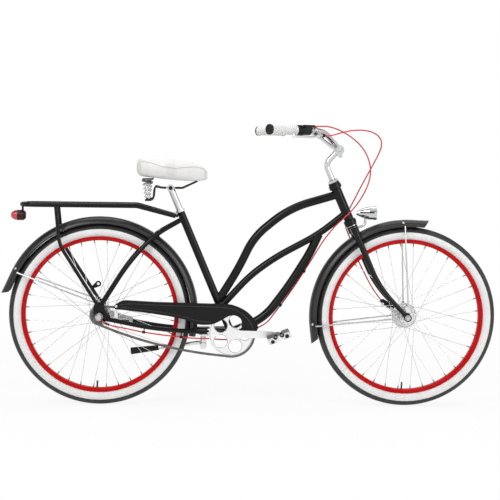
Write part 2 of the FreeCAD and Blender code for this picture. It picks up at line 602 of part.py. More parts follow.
def slant_room(centre, angle, run, sign):
    """Wedge that leaves a fender's straight end longer at its crown than at its edges."""
    outward = circle_point(Vector(0, 0, 0), 1, angle)
    along = tangent(angle) * sign
    side = across * -size.fender_half_width * 2
    depth = size.fender_depth
    tip = centre + outward * fender_radius + along * run + side
    low = tip - (outward * depth + along * size.fender_end_slant) * 2
    far = low + along * (size.fender_end_slant * 2 + depth)
    wedge = Part.Face(Part.makePolygon([tip, low, far, tip]))
    return wedge.extrude(side * -2)


def fender(name, centre, start, end, ends):
    """Sheet turned round the wheel, with a straight run of a given length at either end."""
    section = Part.Face(fender_section(centre, start))
    shape = section.revolve(centre, Vector(0, -1, 0), end - start)
    for angle, run, sign in ends:
        straight = Part.Face(fender_section(centre, angle)).extrude(tangent(angle) * (sign * run))
        shape = shape.fuse(straight).cut(slant_room(centre, angle, run, sign))
    return feature(name, shape.removeSplitter())


rear_fender = fender("rear_fender_sheet", rear_axle, size.rear_fender_start_angle, size.rear_fender_end_angle,
                     [(size.rear_fender_end_angle, size.rear_tail_length, 1)])
front_fender = fender("front_fender_sheet", front_axle, size.front_fender_start_angle,
                      size.front_fender_end_angle,
                      [(size.front_fender_start_angle, size.front_bill_length, -1),
                       (size.front_fender_end_angle, size.front_tail_length, 1)])

# Wheels


def tyre_section(inset):
    """Round the outside of the carcass from bead to bead, drawn in by an inset."""
    half = size.tyre_width / 2 - inset
    bead = size.bead_half_width - inset
    shoulder = size.shoulder_half_width - inset
    right = Part.Arc(Vector(size.bead_radius, -bead, 0), Vector(size.belly_radius, -half, 0),
                     Vector(size.shoulder_radius - inset, -shoulder, 0))
    crown = Part.Arc(Vector(size.shoulder_radius - inset, -shoulder, 0), Vector(size.tyre_radius - inset,
            0, 0),
                     Vector(size.shoulder_radius - inset, shoulder, 0))
    left = Part.Arc(Vector(size.shoulder_radius - inset, shoulder, 0), Vector(size.belly_radius, half, 0),
                    Vector(size.bead_radius, bead, 0))
    return [right, crown, left]


def spun_sketch(name, curves, centre):
    """Body turned about the wheel axle from a section drawn as (radius, y)."""
    body, sketch = body_sketch(name, "XY_Plane")
    for curve in curves:
        sketch.addGeometry(curve)
    spin = body.newObject("PartDesign::Revolution", name + "_spin")
    spin.Profile = sketch
    spin.ReferenceAxis = (sketch, ["V_Axis"])
    spin.Angle = 360
    body.Tip = spin
    return place(body, centre)


def tyre(name, centre):
    outer = tyre_section(0)
    inner = tyre_section(size.tyre_wall)
    bead = size.bead_half_width
    thin = bead - size.tyre_wall
    curves = outer + inner
    curves.append(Part.LineSegment(Vector(size.bead_radius, bead, 0), Vector(size.bead_radius, thin, 0)))
    curves.append(Part.LineSegment(Vector(size.bead_radius, -thin, 0), Vector(size.bead_radius, -bead, 0)))
    return spun_sketch(name, curves, centre)


def closed_lines(points):
    return [Part.LineSegment(points[number - 1], points[number]) for number in range(len(points))]


def rim(name, centre):
    wall = size.rim_wall
    half = [Vector(size.rim_bed_radius, size.rim_bed_half_width, 0), Vector(size.rim_side_radius,
            size.rim_half_width, 0),
            Vector(size.rim_flange_radius, size.rim_half_width, 0),
            Vector(size.rim_flange_radius, size.rim_half_width - wall, 0),
            Vector(size.rim_side_radius + wall, size.rim_half_width - wall, 0),
            Vector(size.rim_bed_radius + wall, size.rim_bed_half_width, 0)]
    points = half + [mirrored(point) for point in reversed(half)]
    ring = spun_sketch(name + "_ring", closed_lines(points), centre)
    direction = circle_point(Vector(0, 0, 0), 1, size.valve_angle)
    hole = cylinder(name + "_valve_hole", "valve_radius + valve_hole_clearance",
                    "rim_flange_radius - valve_tip_radius",
                    centre + direction * size.valve_tip_radius, direction)
    return cut(name, ring, [hole])


def inner_tube(name, centre):
    ring = doc.addObject("Part::Torus", name + "_ring")
    core = doc.addObject("Part::Torus", name + "_core")
    for piece, section in ((ring, "tube_section_radius"), (core, "tube_section_radius - tube_wall")):
        piece.setExpression("Radius1", cells("tube_centre_radius"))
        piece.setExpression("Radius2", cells(section))
        place(piece, centre, across)
    direction = circle_point(Vector(0, 0, 0), 1, size.valve_angle)
    valve = cylinder(name + "_valve", "valve_radius",
                     "tube_centre_radius - valve_tip_radius - tube_section_radius + tube_wall",
                     centre + direction * size.valve_tip_radius, direction)
    return cut(name, fuse(name + "_joined", [ring, valve]), [core])


def stepped_rod(start, end, radius, head, head_length, tip_radius, tip_length):
    """Round rod with a wider head at its start and a wider tip at its end."""
    way = end - start
    length = way.Length
    shape = Part.makeCylinder(radius, length, start, way)
    shape = shape.fuse(Part.makeCylinder(head, head_length, start, way))
    way.normalize()
    return shape.fuse(Part.makeCylinder(tip_radius, tip_length, end - way * tip_length, way))


def spokes(name, centre, flanges):
    """Crossed spokes: half to each flange, every second one inside the flange and laced the other way."""
    rods = []
    count = int(size.spoke_count)
    step = 360.0 / count
    for number in range(count):
        hand = 1 if number % 2 else -1
        flange_y, flange_radius = flanges[hand]
        trailing = (number // 2) % 2
        lace = size.spoke_lace_angle * (1 if trailing else -1)
        face = size.spoke_flange_gap + size.spoke_head_radius
        offset = size.flange_thickness + face if trailing else -face
        rim_angle = step * (number + 0.5)
        start = circle_point(centre, flange_radius - size.flange_hole_inset, rim_angle + lace)
        start = start + across * (hand * (flange_y + offset))
        end = circle_point(centre, size.rim_bed_radius - size.nipple_gap,
                           rim_angle) + across * (hand * size.rim_spoke_offset)
        rods.append(stepped_rod(start, end, size.spoke_radius, size.spoke_head_radius, size.spoke_head_length,
                                size.nipple_radius, size.nipple_length))
    return feature(name, Part.makeCompound(rods))


front_hub_profile = [
    ("0", "hub_bore"), ("0", "front_flange_radius"), ("flange_thickness", "front_flange_radius"),
    ("flange_thickness", "hub_barrel_radius"),
    ("front_flange_y + front_flange_y - drum_depth", "hub_barrel_radius"),
    ("front_flange_y + front_flange_y - drum_depth", "drum_bore + drum_wall"),
    ("front_flange_y + front_flange_y - flange_thickness", "drum_bore + drum_wall"),
    ("front_flange_y + front_flange_y - flange_thickness", "drum_radius"),
    ("front_flange_y + front_flange_y", "drum_radius"),
    ("front_flange_y + front_flange_y", "drum_bore"),
    ("front_flange_y + front_flange_y + drum_wall - drum_depth", "drum_bore"),
    ("front_flange_y + front_flange_y + drum_wall - drum_depth", "hub_bore"),
]
front_hub = turned("front_hub_body", front_hub_profile, front_axle - across * size.front_flange_y, across)
rear_hub_profile = [
    ("0", "hub_bore"), ("0", "rear_cap_radius"), ("rear_cap_length", "rear_cap_radius"),
    ("rear_cap_length", "rear_flange_radius"), ("rear_cap_length + flange_thickness", "rear_flange_radius"),
    ("rear_cap_length + flange_thickness", "rear_barrel_radius"),
    ("rear_cap_length + rear_flange_y + rear_flange_y - flange_thickness", "rear_barrel_radius"),
    ("rear_cap_length + rear_flange_y + rear_flange_y - flange_thickness", "rear_flange_radius"),
    ("rear_cap_length + rear_flange_y + rear_flange_y", "rear_flange_radius"),
    ("rear_cap_length + rear_flange_y + rear_flange_y", "rear_cap_radius"),
    ("rear_cap_length + rear_cap_length + rear_flange_y + rear_flange_y", "rear_cap_radius"),
    ("rear_cap_length + rear_cap_length + rear_flange_y + rear_flange_y", "hub_bore"),
]
rear_hub = turned("rear_hub_body", rear_hub_profile,
                  rear_axle - across * (size.rear_flange_y + size.rear_cap_length), across)
front_inner = size.front_flange_y - size.flange_thickness
rear_inner = size.rear_flange_y - size.flange_thickness
for end, centre, hub, flanges in (
        ("front", front_axle, front_hub, {-1: (front_inner, size.front_flange_radius), 1: (front_inner,
                size.drum_radius)}),
        ("rear", rear_axle, rear_hub, {-1: (rear_inner, size.rear_flange_radius), 1: (rear_inner,
                size.rear_flange_radius)})):
    node(end + "_tyre", [tyre(end + "_carcass", centre), inner_tube(end + "_inner_tube", centre)])
    node(end + "_rim", [rim(end + "_rim_channel", centre)])
    node(end + "_spokes", [spokes(end + "_spoke_set", centre, flanges)])
    node(end + "_hub", [hub])
node("rear_fender", [rear_fender])
node("front_fender", [front_fender])

# Fork: steerer with crown, two raked blades with eyelet ends
crown_top = head_lower_distance - size.headset_cup_height - size.crown_race_height - size.race_gap
crown_bottom = crown_top - size.crown_thickness
steerer_top = head_lower_distance + size.head_tube_length + size.headset_cup_height + size.race_gap
crown_pieces = [cylinder("crown_middle", "crown_centre_radius", "crown_thickness", on_steer(crown_bottom),
                         steer),
                cylinder("crown_race", "race_radius", "crown_race_height", on_steer(crown_top), steer)]
crown_turn = FreeCAD.Rotation(steer_front, across, steer, "ZXY")
crown_pieces.append(block("crown_bar", "crown_end_radius + crown_end_radius", "blade_y + blade_y",
                          "crown_thickness",
                          on_steer(crown_bottom), crown_turn))
for side, hand in (("right", -1), ("left", 1)):
    crown_pieces.append(cylinder("crown_end_" + side, "crown_end_radius", "crown_thickness",
                                 on_steer(crown_bottom, y=hand * size.blade_y), steer))
steerer = doc.addObject("Part::Cylinder", "steerer_bar")
steerer.setExpression("Radius", cells("steerer_radius"))
steerer.Height = steerer_top + size.lock_nut_height + size.steerer_overhang - crown_top
place(steerer, on_steer(crown_top), steer)
steerer_bore = doc.addObject("Part::Cylinder", "steerer_bore")
steerer_bore.setExpression("Radius", cells("quill_radius + quill_fit"))
steerer_bore.Height = steerer.Height.Value + size.cut_overrun
place(steerer_bore, on_steer(crown_top), steer)
crown = cut("fork_crown_body", fuse("fork_crown_joined", crown_pieces + [steerer]), [steerer_bore])
node("fork_crown", [crown])

fork_eyelet = front_axle + Vector(0, 0, size.fork_eyelet_rise)
blades = []
for side, hand in (("right", -1), ("left", 1)):
    lift = across * (hand * size.blade_y)
    points = [on_steer(crown_bottom) + lift, on_steer(size.blade_straight_distance) + lift, front_axle + lift]
    last = points[2] - points[1]
    last.normalize()
    points[2] = points[2] - last * (size.fork_end_radius - size.blade_tip_radius / 2)
    blade = feature("blade_bar_" + side, pipe(points, size.blade_radius, end_radius=size.blade_tip_radius))
    base = front_axle + across * (hand * size.blade_y - size.fork_end_thickness / 2)
    ring = cylinder("fork_ring_" + side, "fork_end_radius", "fork_end_thickness", base, across)
    tab = block("fork_tab_" + side, "fork_eyelet_width + fork_eyelet_width", "fork_end_thickness",
                "fork_eyelet_rise",
                front_axle + lift)
    tip = cylinder("fork_tab_end_" + side, "fork_eyelet_width", "fork_end_thickness",
                   base + Vector(0, 0, size.fork_eyelet_rise), across)
    hole = cylinder("fork_hole_" + side, "axle_radius + axle_hole_clearance",
                    "fork_end_thickness + blade_radius + blade_radius", base - across * size.blade_radius,
                    across)
    eye = cylinder("fork_eye_hole_" + side, "eyelet_radius", "fork_end_thickness + cut_overrun",
                   base + Vector(0, 0, size.fork_eyelet_rise), across)
    inner_room = cylinder("blade_inner_room_" + side, "fork_end_radius + arm_seat_gap",
                          "blade_radius + blade_radius",
                          front_axle + across * (hand * size.fork_inner_y), across * -hand)
    outer_room = cylinder("blade_outer_room_" + side, "washer_radius + arm_seat_gap",
                          "blade_radius + blade_radius",
                          front_axle + across * (hand * (size.fork_inner_y + size.fork_end_thickness)),
                          across * hand)
    blades.append(cut("fork_blade_" + side, fuse("fork_blade_joined_" + side, [blade, ring, tab, tip]),
                      [hole, eye, inner_room, outer_room]))
node("fork_blades", blades)


def hexagon(name, radius, length, base, direction):
    piece = doc.addObject("Part::Prism", name)
    piece.Polygon = 6
    piece.setExpression("Circumradius", cells(radius))
    piece.setExpression("Height", cells(length))
    return place(piece, base, direction)


def axle_set(name, centre, inner_y, plate_thickness, extra):
    """Axle with its sleeve between the frame ends, and a washer and a nut outside each end."""
    bore = "axle_radius"
    reach = "%s + %s + washer_length + axle_nut_length + axle_overhang" % (inner_y, plate_thickness)
    rod = cylinder(name + "_rod", bore, reach + " + " + reach, centre - across * total(reach), across)
    sleeve_bar = cylinder(name + "_sleeve_bar", "axle_radius + sleeve_wall", inner_y + " + " + inner_y,
                          centre - across * total(inner_y), across)
    pieces = [rod, cut(name + "_sleeve", sleeve_bar, [rod])]
    for side, hand in (("right", -1), ("left", 1)):
        start = centre + across * (hand * total(inner_y + " + " + plate_thickness + extra))
        washer = cylinder(name + "_washer_bar_" + side, "washer_radius", "washer_length", start,
                          across * hand)
        pieces.append(cut(name + "_washer_" + side, washer, [rod]))
        nut = hexagon(name + "_nut_bar_" + side, "axle_nut_radius", "axle_nut_length",
                      start + across * (hand * size.washer_length), across * hand)
        pieces.append(cut(name + "_nut_" + side, nut, [rod]))
    return pieces


node("front_axle", axle_set("front_axle", front_axle, "fork_inner_y", "fork_end_thickness", ""))

# Front drum brake: plate on the sleeve, cam arm outside it


def hull_plate(name, first, first_radius, second, second_radius, thickness, base, holes=()):
    """Plate in the side view round two circles, joined by their outer tangents."""
    way = second - first
    distance = way.Length
    way.normalize()
    side = Vector(-way.z, 0, way.x)
    lean = (first_radius - second_radius) / distance
    rise = math.sqrt(1 - lean * lean)
    up = way * lean + side * rise
    down = way * lean - side * rise
    body, sketch = body_sketch(name, "XZ_Plane")

    def flat(point):
        return Vector(point.x, point.z, 0)

    a, b = first + up * first_radius, second + up * second_radius
    c, e = second + down * second_radius, first + down * first_radius
    sketch.addGeometry(Part.LineSegment(flat(a), flat(b)))
    sketch.addGeometry(Part.Arc(flat(b), flat(second + way * second_radius), flat(c)))
    sketch.addGeometry(Part.LineSegment(flat(c), flat(e)))
    sketch.addGeometry(Part.Arc(flat(e), flat(first - way * first_radius), flat(a)))
    for centre, radius in holes:
        sketch.addGeometry(Part.Circle(flat(centre), Vector(0, 0, 1), radius))
    pad = body.newObject("PartDesign::Pad", name + "_pad")
    pad.Profile = sketch
    pad.Midplane = True
    pad.setExpression("Length", cells(thickness))
    body.Tip = pad
    return place(body, base)


plate_outer_y = size.front_flange_y + size.brake_plate_proud
cam_centre = front_axle + Vector(-size.cam_back, 0, size.cam_rise)
drum_cover = cylinder("drum_cover_bar", "drum_bore - brake_plate_gap", "brake_plate_thickness",
                      front_axle + across * (plate_outer_y - size.brake_plate_thickness), across)
cam_pin = cylinder("cam_pin", "cam_pin_radius", "cam_pin_length", cam_centre + across * plate_outer_y, across)
torque_arm_y = plate_outer_y + size.arm_seat_gap * 2 + size.arm_thickness + size.torque_arm_thickness / 2
torque_end = front_axle + Vector(-size.torque_arm_reach, 0, size.torque_arm_rise)
torque_arm = hull_plate("torque_arm", front_axle, size.fork_end_radius, torque_end, size.torque_arm_radius,
                        "torque_arm_thickness",
                        across * torque_arm_y)
drum_boss = cylinder("drum_boss", "fork_end_radius", "front_flange_y", front_axle + across * plate_outer_y,
                     across)
boss_room = cylinder("boss_room", "drum_bore", "front_flange_y", front_axle + across * size.fork_inner_y,
                     across)
plate_hole = cylinder("plate_hole", "axle_radius + sleeve_wall", "fork_inner_y + fork_inner_y",
                      front_axle - across * size.fork_inner_y, across)
brake_plate = cut("brake_plate_body", fuse("brake_plate_joined", [drum_cover, drum_boss, cam_pin,
        torque_arm]),
                  [plate_hole, boss_room])
node("front_brake_plate", [brake_plate])
arm_way = Vector(-math.sin(steer_turn), 0, math.cos(steer_turn) + math.sin(steer_turn) / 2)
arm_way.normalize()
arm_tip = cam_centre + arm_way * size.arm_length
arm_y = plate_outer_y + size.arm_seat_gap + size.arm_thickness / 2
brake_arm = hull_plate("brake_arm_plate", cam_centre, size.arm_eye_radius, arm_tip, size.arm_tip_radius,
                       "arm_thickness",
                       across * arm_y, holes=((cam_centre, size.cam_pin_radius + size.cam_fit),
                                              (arm_tip, size.spoke_head_radius)))
node("front_brake_arm", [brake_arm])

# Stem, handlebar and grips
stem_corner_height = head_top.z + size.stem_rise
clamp = at(size.clamp_x, 0, stem_corner_height + size.clamp_rise)
stem_corner = on_steer((stem_corner_height - steer_foot.z) / steer.z)
quill_start = head_top - steer * size.quill_depth
goose = feature("stem_goose", pipe([quill_start, stem_corner, clamp], size.quill_radius, bend=size.stem_bend))
clamp_barrel = cylinder("clamp_barrel", "clamp_radius", "clamp_half_width + clamp_half_width",
                        clamp - across * size.clamp_half_width, across)
clamp_bolt_place = clamp + Vector(size.clamp_bolt_forward, 0, -size.clamp_bolt_drop)
clamp_lug = cylinder("clamp_lug", "clamp_bolt_radius + clamp_bolt_radius",
                     "clamp_lug_width + clamp_lug_width",
                     clamp_bolt_place - across * size.clamp_lug_width, across)
clamp_bore = cylinder("clamp_bore", "bar_centre_radius", "bar_end_y", clamp - across * size.bar_end_y / 2,
                      across)
bolt_reach = size.clamp_lug_width + size.bolt_head_length
clamp_bolt = cylinder("clamp_bolt", "clamp_bolt_radius",
                      "clamp_lug_width + clamp_lug_width + bolt_head_length + bolt_head_length",
                      clamp_bolt_place - across * bolt_reach, across)
node("stem", [cut("stem_body", fuse("stem_joined", [goose, clamp_barrel, clamp_lug]), [clamp_bore,
        clamp_bolt])])


def bar_point(back, y, rise):
    return Vector(clamp.x - back, y, clamp.z + rise)


bar_half = [bar_point(0, size.bar_clamp_half, 0), bar_point(size.bar_bend_back, size.bar_bend_y,
                                                            size.bar_rise),
            bar_point(size.bar_end_back, size.bar_end_y, size.bar_end_rise)]
bar_points = [mirrored(point) for point in reversed(bar_half)] + bar_half
bar_solid = pipe(bar_points, size.bar_radius, bend=size.bar_bend_radius)
bar_bulge = Part.makeCylinder(size.bar_centre_radius, size.bar_centre_half * 2,
                              clamp - across * size.bar_centre_half, across)
bar_core = pipe(bar_points, size.bar_radius - size.bar_wall, bend=size.bar_bend_radius)
node("handlebar", [feature("handlebar_tube", bar_solid.fuse(bar_bulge).cut(bar_core))])

grip_profile = [
    ("0", "bar_radius"), ("0", "grip_lip_radius"), ("grip_lip_length", "grip_lip_radius"),
    ("grip_lip_length + grip_lip_length", "grip_waist_radius"),
    ("grip_length - grip_lip_length - grip_lip_length - grip_lip_length", "grip_radius"),
    ("grip_length - grip_lip_length", "grip_waist_radius"), ("grip_length - grip_lip_length",
            "grip_lip_radius"),
    ("grip_length", "grip_lip_radius"), ("grip_length", "bar_radius"),
]
bar_ways = {}
bar_ends = {}
grips = []
caps = []
for side, hand in (("right", -1), ("left", 1)):
    end = bar_half[2] if hand == 1 else mirrored(bar_half[2])
    inner = bar_half[1] if hand == 1 else mirrored(bar_half[1])
    way = inner - end
    way.normalize()
    bar_ways[hand] = way
    bar_ends[hand] = end
    grips.append(turned("grip_" + side, grip_profile, end, way))
    caps.append(cylinder("grip_cap_" + side, "cap_radius", "cap_length", end, way * -1))
node("grips", grips)
node("grip_caps", caps)


# Twist shifter and brake lever on the right side of the bar
bar_way = bar_ways[-1]
bar_end = bar_ends[-1]
bar_front = Vector(-bar_way.y, bar_way.x, 0)
if bar_front.x < 0:
    bar_front = bar_front * -1
bar_front.normalize()
lever_drop_angle = math.radians(35)
lever_side = bar_front * math.cos(lever_drop_angle) - Vector(0, 0, 1) * math.sin(lever_drop_angle)
lever_axis = bar_way.cross(lever_side)
lever_axis.normalize()


def on_bar(distance, offset=0.0, direction=None):
    point = bar_end + bar_way * distance
    if direction is not None:
        point = point + direction * offset
    return point


twist_start = size.grip_length + size.twist_gap
twist_profile = [
    ("0", "bar_radius + grip_fit"), ("0", "twist_radius"), ("grip_lip_length", "twist_radius"),
    ("grip_lip_length + grip_lip_length", "twist_waist_radius"), ("twist_length - grip_lip_length",
            "twist_waist_radius"),
    ("twist_length", "twist_radius"), ("twist_length", "bar_radius + grip_fit"),
]
node("twist_shifter", [turned("twist_sleeve", twist_profile, on_bar(twist_start), bar_way)])
shifter_start = twist_start + size.twist_length + size.twist_gap
shifter_up = (Vector(0, 0, 1) + bar_front * math.cos(lever_drop_angle))
shifter_up.normalize()
shifter_pieces = [
    cylinder("shifter_drum", "shifter_radius", "shifter_length", on_bar(shifter_start), bar_way),
    cylinder("shifter_hump", "hump_radius", "shifter_length", on_bar(shifter_start, size.hump_offset,
            shifter_up), bar_way),
    cylinder("shifter_nose", "nose_radius", "shifter_length + nose_length",
             on_bar(shifter_start, size.nose_offset, shifter_up), bar_way),
]
bar_room = cylinder("bar_room", "bar_radius", "bar_end_y", bar_end, bar_way)
node("shifter_body", [cut("shifter_housing", fuse("shifter_joined", shifter_pieces), [bar_room])])

pivot = on_bar(size.bracket_start + size.bracket_length / 2, size.pivot_offset, lever_side)
bracket_ring = cylinder("lever_ring", "bracket_ring_radius", "bracket_length", on_bar(size.bracket_start),
                        bar_way)
fork_turn = FreeCAD.Rotation(bar_way, lever_axis, lever_side, "ZXY")
half_slot = size.lever_thickness / 2 + size.lever_gap
cheeks = []
for name, hand in (("upper", -1), ("lower", 1)):
    start = on_bar(size.bracket_start + size.bracket_length / 2)
    middle = start + lever_axis * (hand * (half_slot + size.bracket_plate / 2))
    cheeks.append(block("lever_cheek_" + name, "bracket_length", "bracket_plate",
                        "pivot_offset + lever_eye_radius", middle, fork_turn))
pin_half = half_slot + size.bracket_plate
pivot_pin = cylinder("pivot_pin", "pivot_radius",
                     "lever_thickness + bracket_plate + bracket_plate + lever_gap + lever_gap",
                     pivot - lever_axis * pin_half, lever_axis)
adjuster_start = on_bar(size.bracket_start + size.bracket_length, size.pivot_offset, lever_side)
adjuster = cylinder("cable_adjuster", "adjuster_radius", "adjuster_length", adjuster_start, bar_way)
bridge = block("lever_web", "bracket_plate", "lever_thickness + bracket_plate + bracket_plate",
               "pivot_offset + lever_eye_radius",
               on_bar(size.bracket_start + size.bracket_length + size.bracket_plate / 2), fork_turn)
lever_bracket = cut("lever_bracket_body", fuse("lever_bracket_joined", [bracket_ring] + cheeks + [bridge,
        pivot_pin, adjuster]),
                    [feature("bent_bar_room", bar_solid)])
node("brake_lever_bracket", [lever_bracket])
lever_points = [pivot, pivot - bar_way * size.lever_neck + lever_side * size.lever_bow,
                pivot - bar_way * size.lever_length + lever_side * (size.lever_bow - size.lever_bar_radius)]
lever_bar = feature("lever_bar", pipe(lever_points, size.lever_thickness / 2,
                                      end_radius=size.lever_bar_radius - size.lever_gap))
lever_eye = cylinder("lever_eye", "lever_eye_radius", "lever_thickness",
                     pivot - lever_axis * size.lever_thickness / 2, lever_axis)
lever_ball = doc.addObject("Part::Sphere", "lever_ball")
lever_ball.setExpression("Radius", cells("lever_tip_radius"))
lever_ball.Placement.Base = lever_points[2]
pin_room = cylinder("pin_room", "pivot_radius + pivot_fit", "lever_thickness + cut_overrun + cut_overrun",
                    pivot - lever_axis * (size.lever_thickness / 2 + size.cut_overrun), lever_axis)
node("brake_lever", [cut("brake_lever_body", fuse("brake_lever_joined", [lever_bar, lever_eye,
        lever_ball]), [pin_room])])

# Bullet headlight on a bracket from the fork crown
light_base = at(size.light_rear_x, 0, size.light_height)
forward = Vector(1, 0, 0)
light_profile = [
    ("0", "0"), ("0", "light_nose_radius"), ("light_mid_along", "light_mid_radius"), ("light_wide_along",
            "light_radius - lens_gap"),
    ("light_length - light_ring_length", "light_radius"), ("light_length - light_ring_length",
                                                           "light_ring_radius"),
    ("light_length", "light_ring_radius"), ("light_length", "light_radius - light_shell_wall"),
    ("light_length - light_cavity_depth",
     "light_radius - light_shell_wall - light_shell_wall - light_shell_wall"),
    ("light_length - light_cavity_depth", "0"),
]
light_shell = turned("headlight_shell_body", light_profile, light_base, forward)
lens_profile = [
    ("0", "0"), ("0", "lens_rear_radius"),
    ("lens_thickness", "light_radius - light_shell_wall - lens_gap - lens_gap"),
    ("lens_thickness + light_shell_wall", "light_nose_radius + light_nose_radius"),
    ("lens_thickness + light_shell_wall + lens_gap", "0"),
]
lens = turned("headlight_lens_body", lens_profile,
              light_base + forward * (size.light_length - size.lens_thickness), forward)
bracket_foot = on_steer((crown_bottom + crown_top) / 2, size.crown_centre_radius - size.light_shell_wall)
bracket_head = light_base + Vector(size.light_bracket_forward, 0, -size.light_mid_radius)
bracket_corner = Vector(bracket_head.x, 0, (bracket_foot.z + bracket_head.z) / 2 - size.light_bracket_drop)
light_bracket_bar = feature("light_bracket_bar", pipe([bracket_foot, bracket_corner, bracket_head],
                                                      size.light_bracket_radius))
light_room = turned("light_room", [("0", "0"), ("0", "light_nose_radius"), ("light_mid_along",
        "light_mid_radius"),
                                   ("light_wide_along", "light_radius - lens_gap"), ("light_length",
                                           "light_radius - lens_gap"),
                                   ("light_length", "0")], light_base, forward)
light_bracket = cut("light_bracket_body", light_bracket_bar, [light_room, crown])
node("headlight_shell", [light_shell, light_bracket])
node("headlight_lens", [lens])

# Chrome stays of both fenders
fender_stay_y = size.fender_half_width + size.fender_stay_radius + size.stay_seat_gap
rear_stay_y = size.dropout_inner_y + size.dropout_thickness + size.fender_stay_radius + size.stay_seat_gap
front_stay_y = size.fork_inner_y + size.fork_end_thickness + size.fender_stay_radius + size.stay_seat_gap
rear_stay_set = []
front_stay_set = []
for side, hand in (("right", -1), ("left", 1)):
    upper = at(size.rear_stay_x, hand * fender_stay_y, size.rear_stay_height)
    lower = eyelet + across * (hand * rear_stay_y)
    middle = (upper + lower) / 2 + across * (hand * size.fender_stay_radius)
    bar = feature("rear_stay_bar_" + side, pipe([upper, middle, lower], size.fender_stay_radius))
    hole = cylinder("rear_stay_hole_" + side, "eyelet_radius - stay_seat_gap", "stay_radius + stay_radius",
                    lower - across * size.stay_radius, across)
    eye = cylinder("rear_stay_eye_" + side, "stay_eye_radius", "fender_stay_radius + fender_stay_radius",
                   lower - across * size.fender_stay_radius, across)
    rear_stay_set.append(cut("rear_stay_" + side, fuse("rear_stay_joined_" + side, [bar, eye]),
                             [hole] + dropouts))
    upper = front_axle + Vector(-size.front_stay_back, hand * fender_stay_y, size.front_stay_rise)
    lower = fork_eyelet + across * (hand * front_stay_y)
    middle = (upper + lower) / 2 + across * (hand * size.fender_stay_radius)
    bar = feature("front_stay_bar_" + side, pipe([upper, middle, lower], size.fender_stay_radius))
    hole = cylinder("front_stay_hole_" + side, "eyelet_radius - stay_seat_gap", "stay_radius + stay_radius",
                    lower - across * size.stay_radius, across)
    eye = cylinder("front_stay_eye_" + side, "stay_eye_radius", "fender_stay_radius + fender_stay_radius",
                   lower - across * size.fender_stay_radius, across)
    front_stay_set.append(cut("front_stay_" + side, fuse("front_stay_joined_" + side, [bar, eye]),
                              [hole] + blades))
    back = front_axle + Vector(-size.rear_tail_stay_back, hand * fender_stay_y, -size.rear_tail_stay_drop)
    nose = front_axle + Vector(-size.stay_nut_gap, hand * front_stay_y, 0)
    middle = (back + nose) / 2 + across * (hand * size.fender_stay_radius)
    front_stay_set.append(feature("front_tail_stay_" + side, pipe([back, middle, nose],
            size.fender_stay_radius)))
node("rear_fender_stays", rear_stay_set)
node("front_fender_stays", front_stay_set)

# Rear rack: one hoop of tube with two struts and a strap eye
backward = Vector(-1, 0, 0)
rack_seat = on_seat(seat_top.z - size.rack_front_drop)
rack_front = rack_seat + backward * size.rack_front_gap
rack_half = [rack_front + across * size.rack_front_y,
             at(size.rack_bend_x, size.rack_half_width, size.rack_height),
             at(size.rack_rear_x, size.rack_half_width, size.rack_height)]
rack_points = [mirrored(point) for point in rack_half] + list(reversed(rack_half))
hoop_bar = pipe(rack_points, size.rack_radius, bend=size.rack_corner)
hoop = hoop_bar.cut(pipe(rack_points, size.rack_radius - size.rack_wall, bend=size.rack_corner))
rack_bolt_place = rack_front - backward * (size.rack_bolt_radius + size.rack_bolt_radius)
rack_bolt_half = size.rack_front_y + size.rack_radius + size.bolt_head_length
rack_bolt_bar = Part.makeCylinder(size.rack_bolt_radius, rack_bolt_half * 2,
                                  rack_bolt_place - across * rack_bolt_half, across)
hoop = hoop.cut(rack_bolt_bar)
strut_y = rear_stay_y + size.fender_stay_radius + size.strut_radius + size.strut_end_gap
struts = []
strut_lines = {}
for side, hand in (("right", -1), ("left", 1)):
    points = [at(size.strut_top_x, hand * size.rack_half_width, size.rack_height),
              at(size.strut_bend_x, hand * size.strut_bend_y, size.strut_bend_height),
              eyelet + across * (hand * strut_y)]
    strut_lines[hand] = points
    bar = pipe(points, size.strut_radius, bend=size.rack_corner + size.rack_corner + size.rack_corner)
    foot_half = size.strut_radius + size.stay_seat_gap
    foot = Part.makeCylinder(size.strut_radius + size.rack_wall, foot_half * 2,
                             points[2] - across * foot_half, across)
    bolt = Part.makeCylinder(size.eyelet_radius - size.stay_seat_gap, size.strut_bolt_reach,
                             points[2] - across * size.strut_bolt_reach / 2, across)
    struts.append(feature("rack_strut_" + side, bar.fuse(foot).cut(hoop_bar).cut(bolt)))
left_strut = strut_lines[1]
strut_way = left_strut[2] - left_strut[1]
eye_share = 0.8
eye_root = left_strut[1] + strut_way * eye_share
eye_way = Vector(-strut_way.z, 0, strut_way.x)
eye_way.normalize()
eye_centre = eye_root + eye_way * size.eye_forward
eye_flat_root = Vector(eye_root.x, 0, eye_root.z)
eye_flat = Vector(eye_centre.x, 0, eye_centre.z)
eye_tab = hull_plate("strap_eye_tab", eye_flat_root, size.eye_plate_thickness, eye_flat,
                     size.eye_outer_radius,
                     "eye_plate_thickness", across * eye_root.y, holes=((eye_flat, size.eye_hole_radius),))
strap_eye = cut("strap_eye", eye_tab, [struts[1]])
rack_lug_rear = rack_bolt_place.x - size.rack_lug_height / 2
rack_lug_bar = feature("rack_lug_bar", Part.makeBox(
    rack_seat.x - rack_lug_rear, size.seat_tube_radius, size.rack_lug_height,
    Vector(rack_lug_rear, -size.seat_tube_radius / 2, rack_seat.z - size.rack_lug_height / 2)))
rack_lug = cut("rack_lug", rack_lug_bar, [seat_bar, feature("rack_bolt_room", rack_bolt_bar)])
node("rear_rack", [feature("rack_hoop", hoop)] + struts)

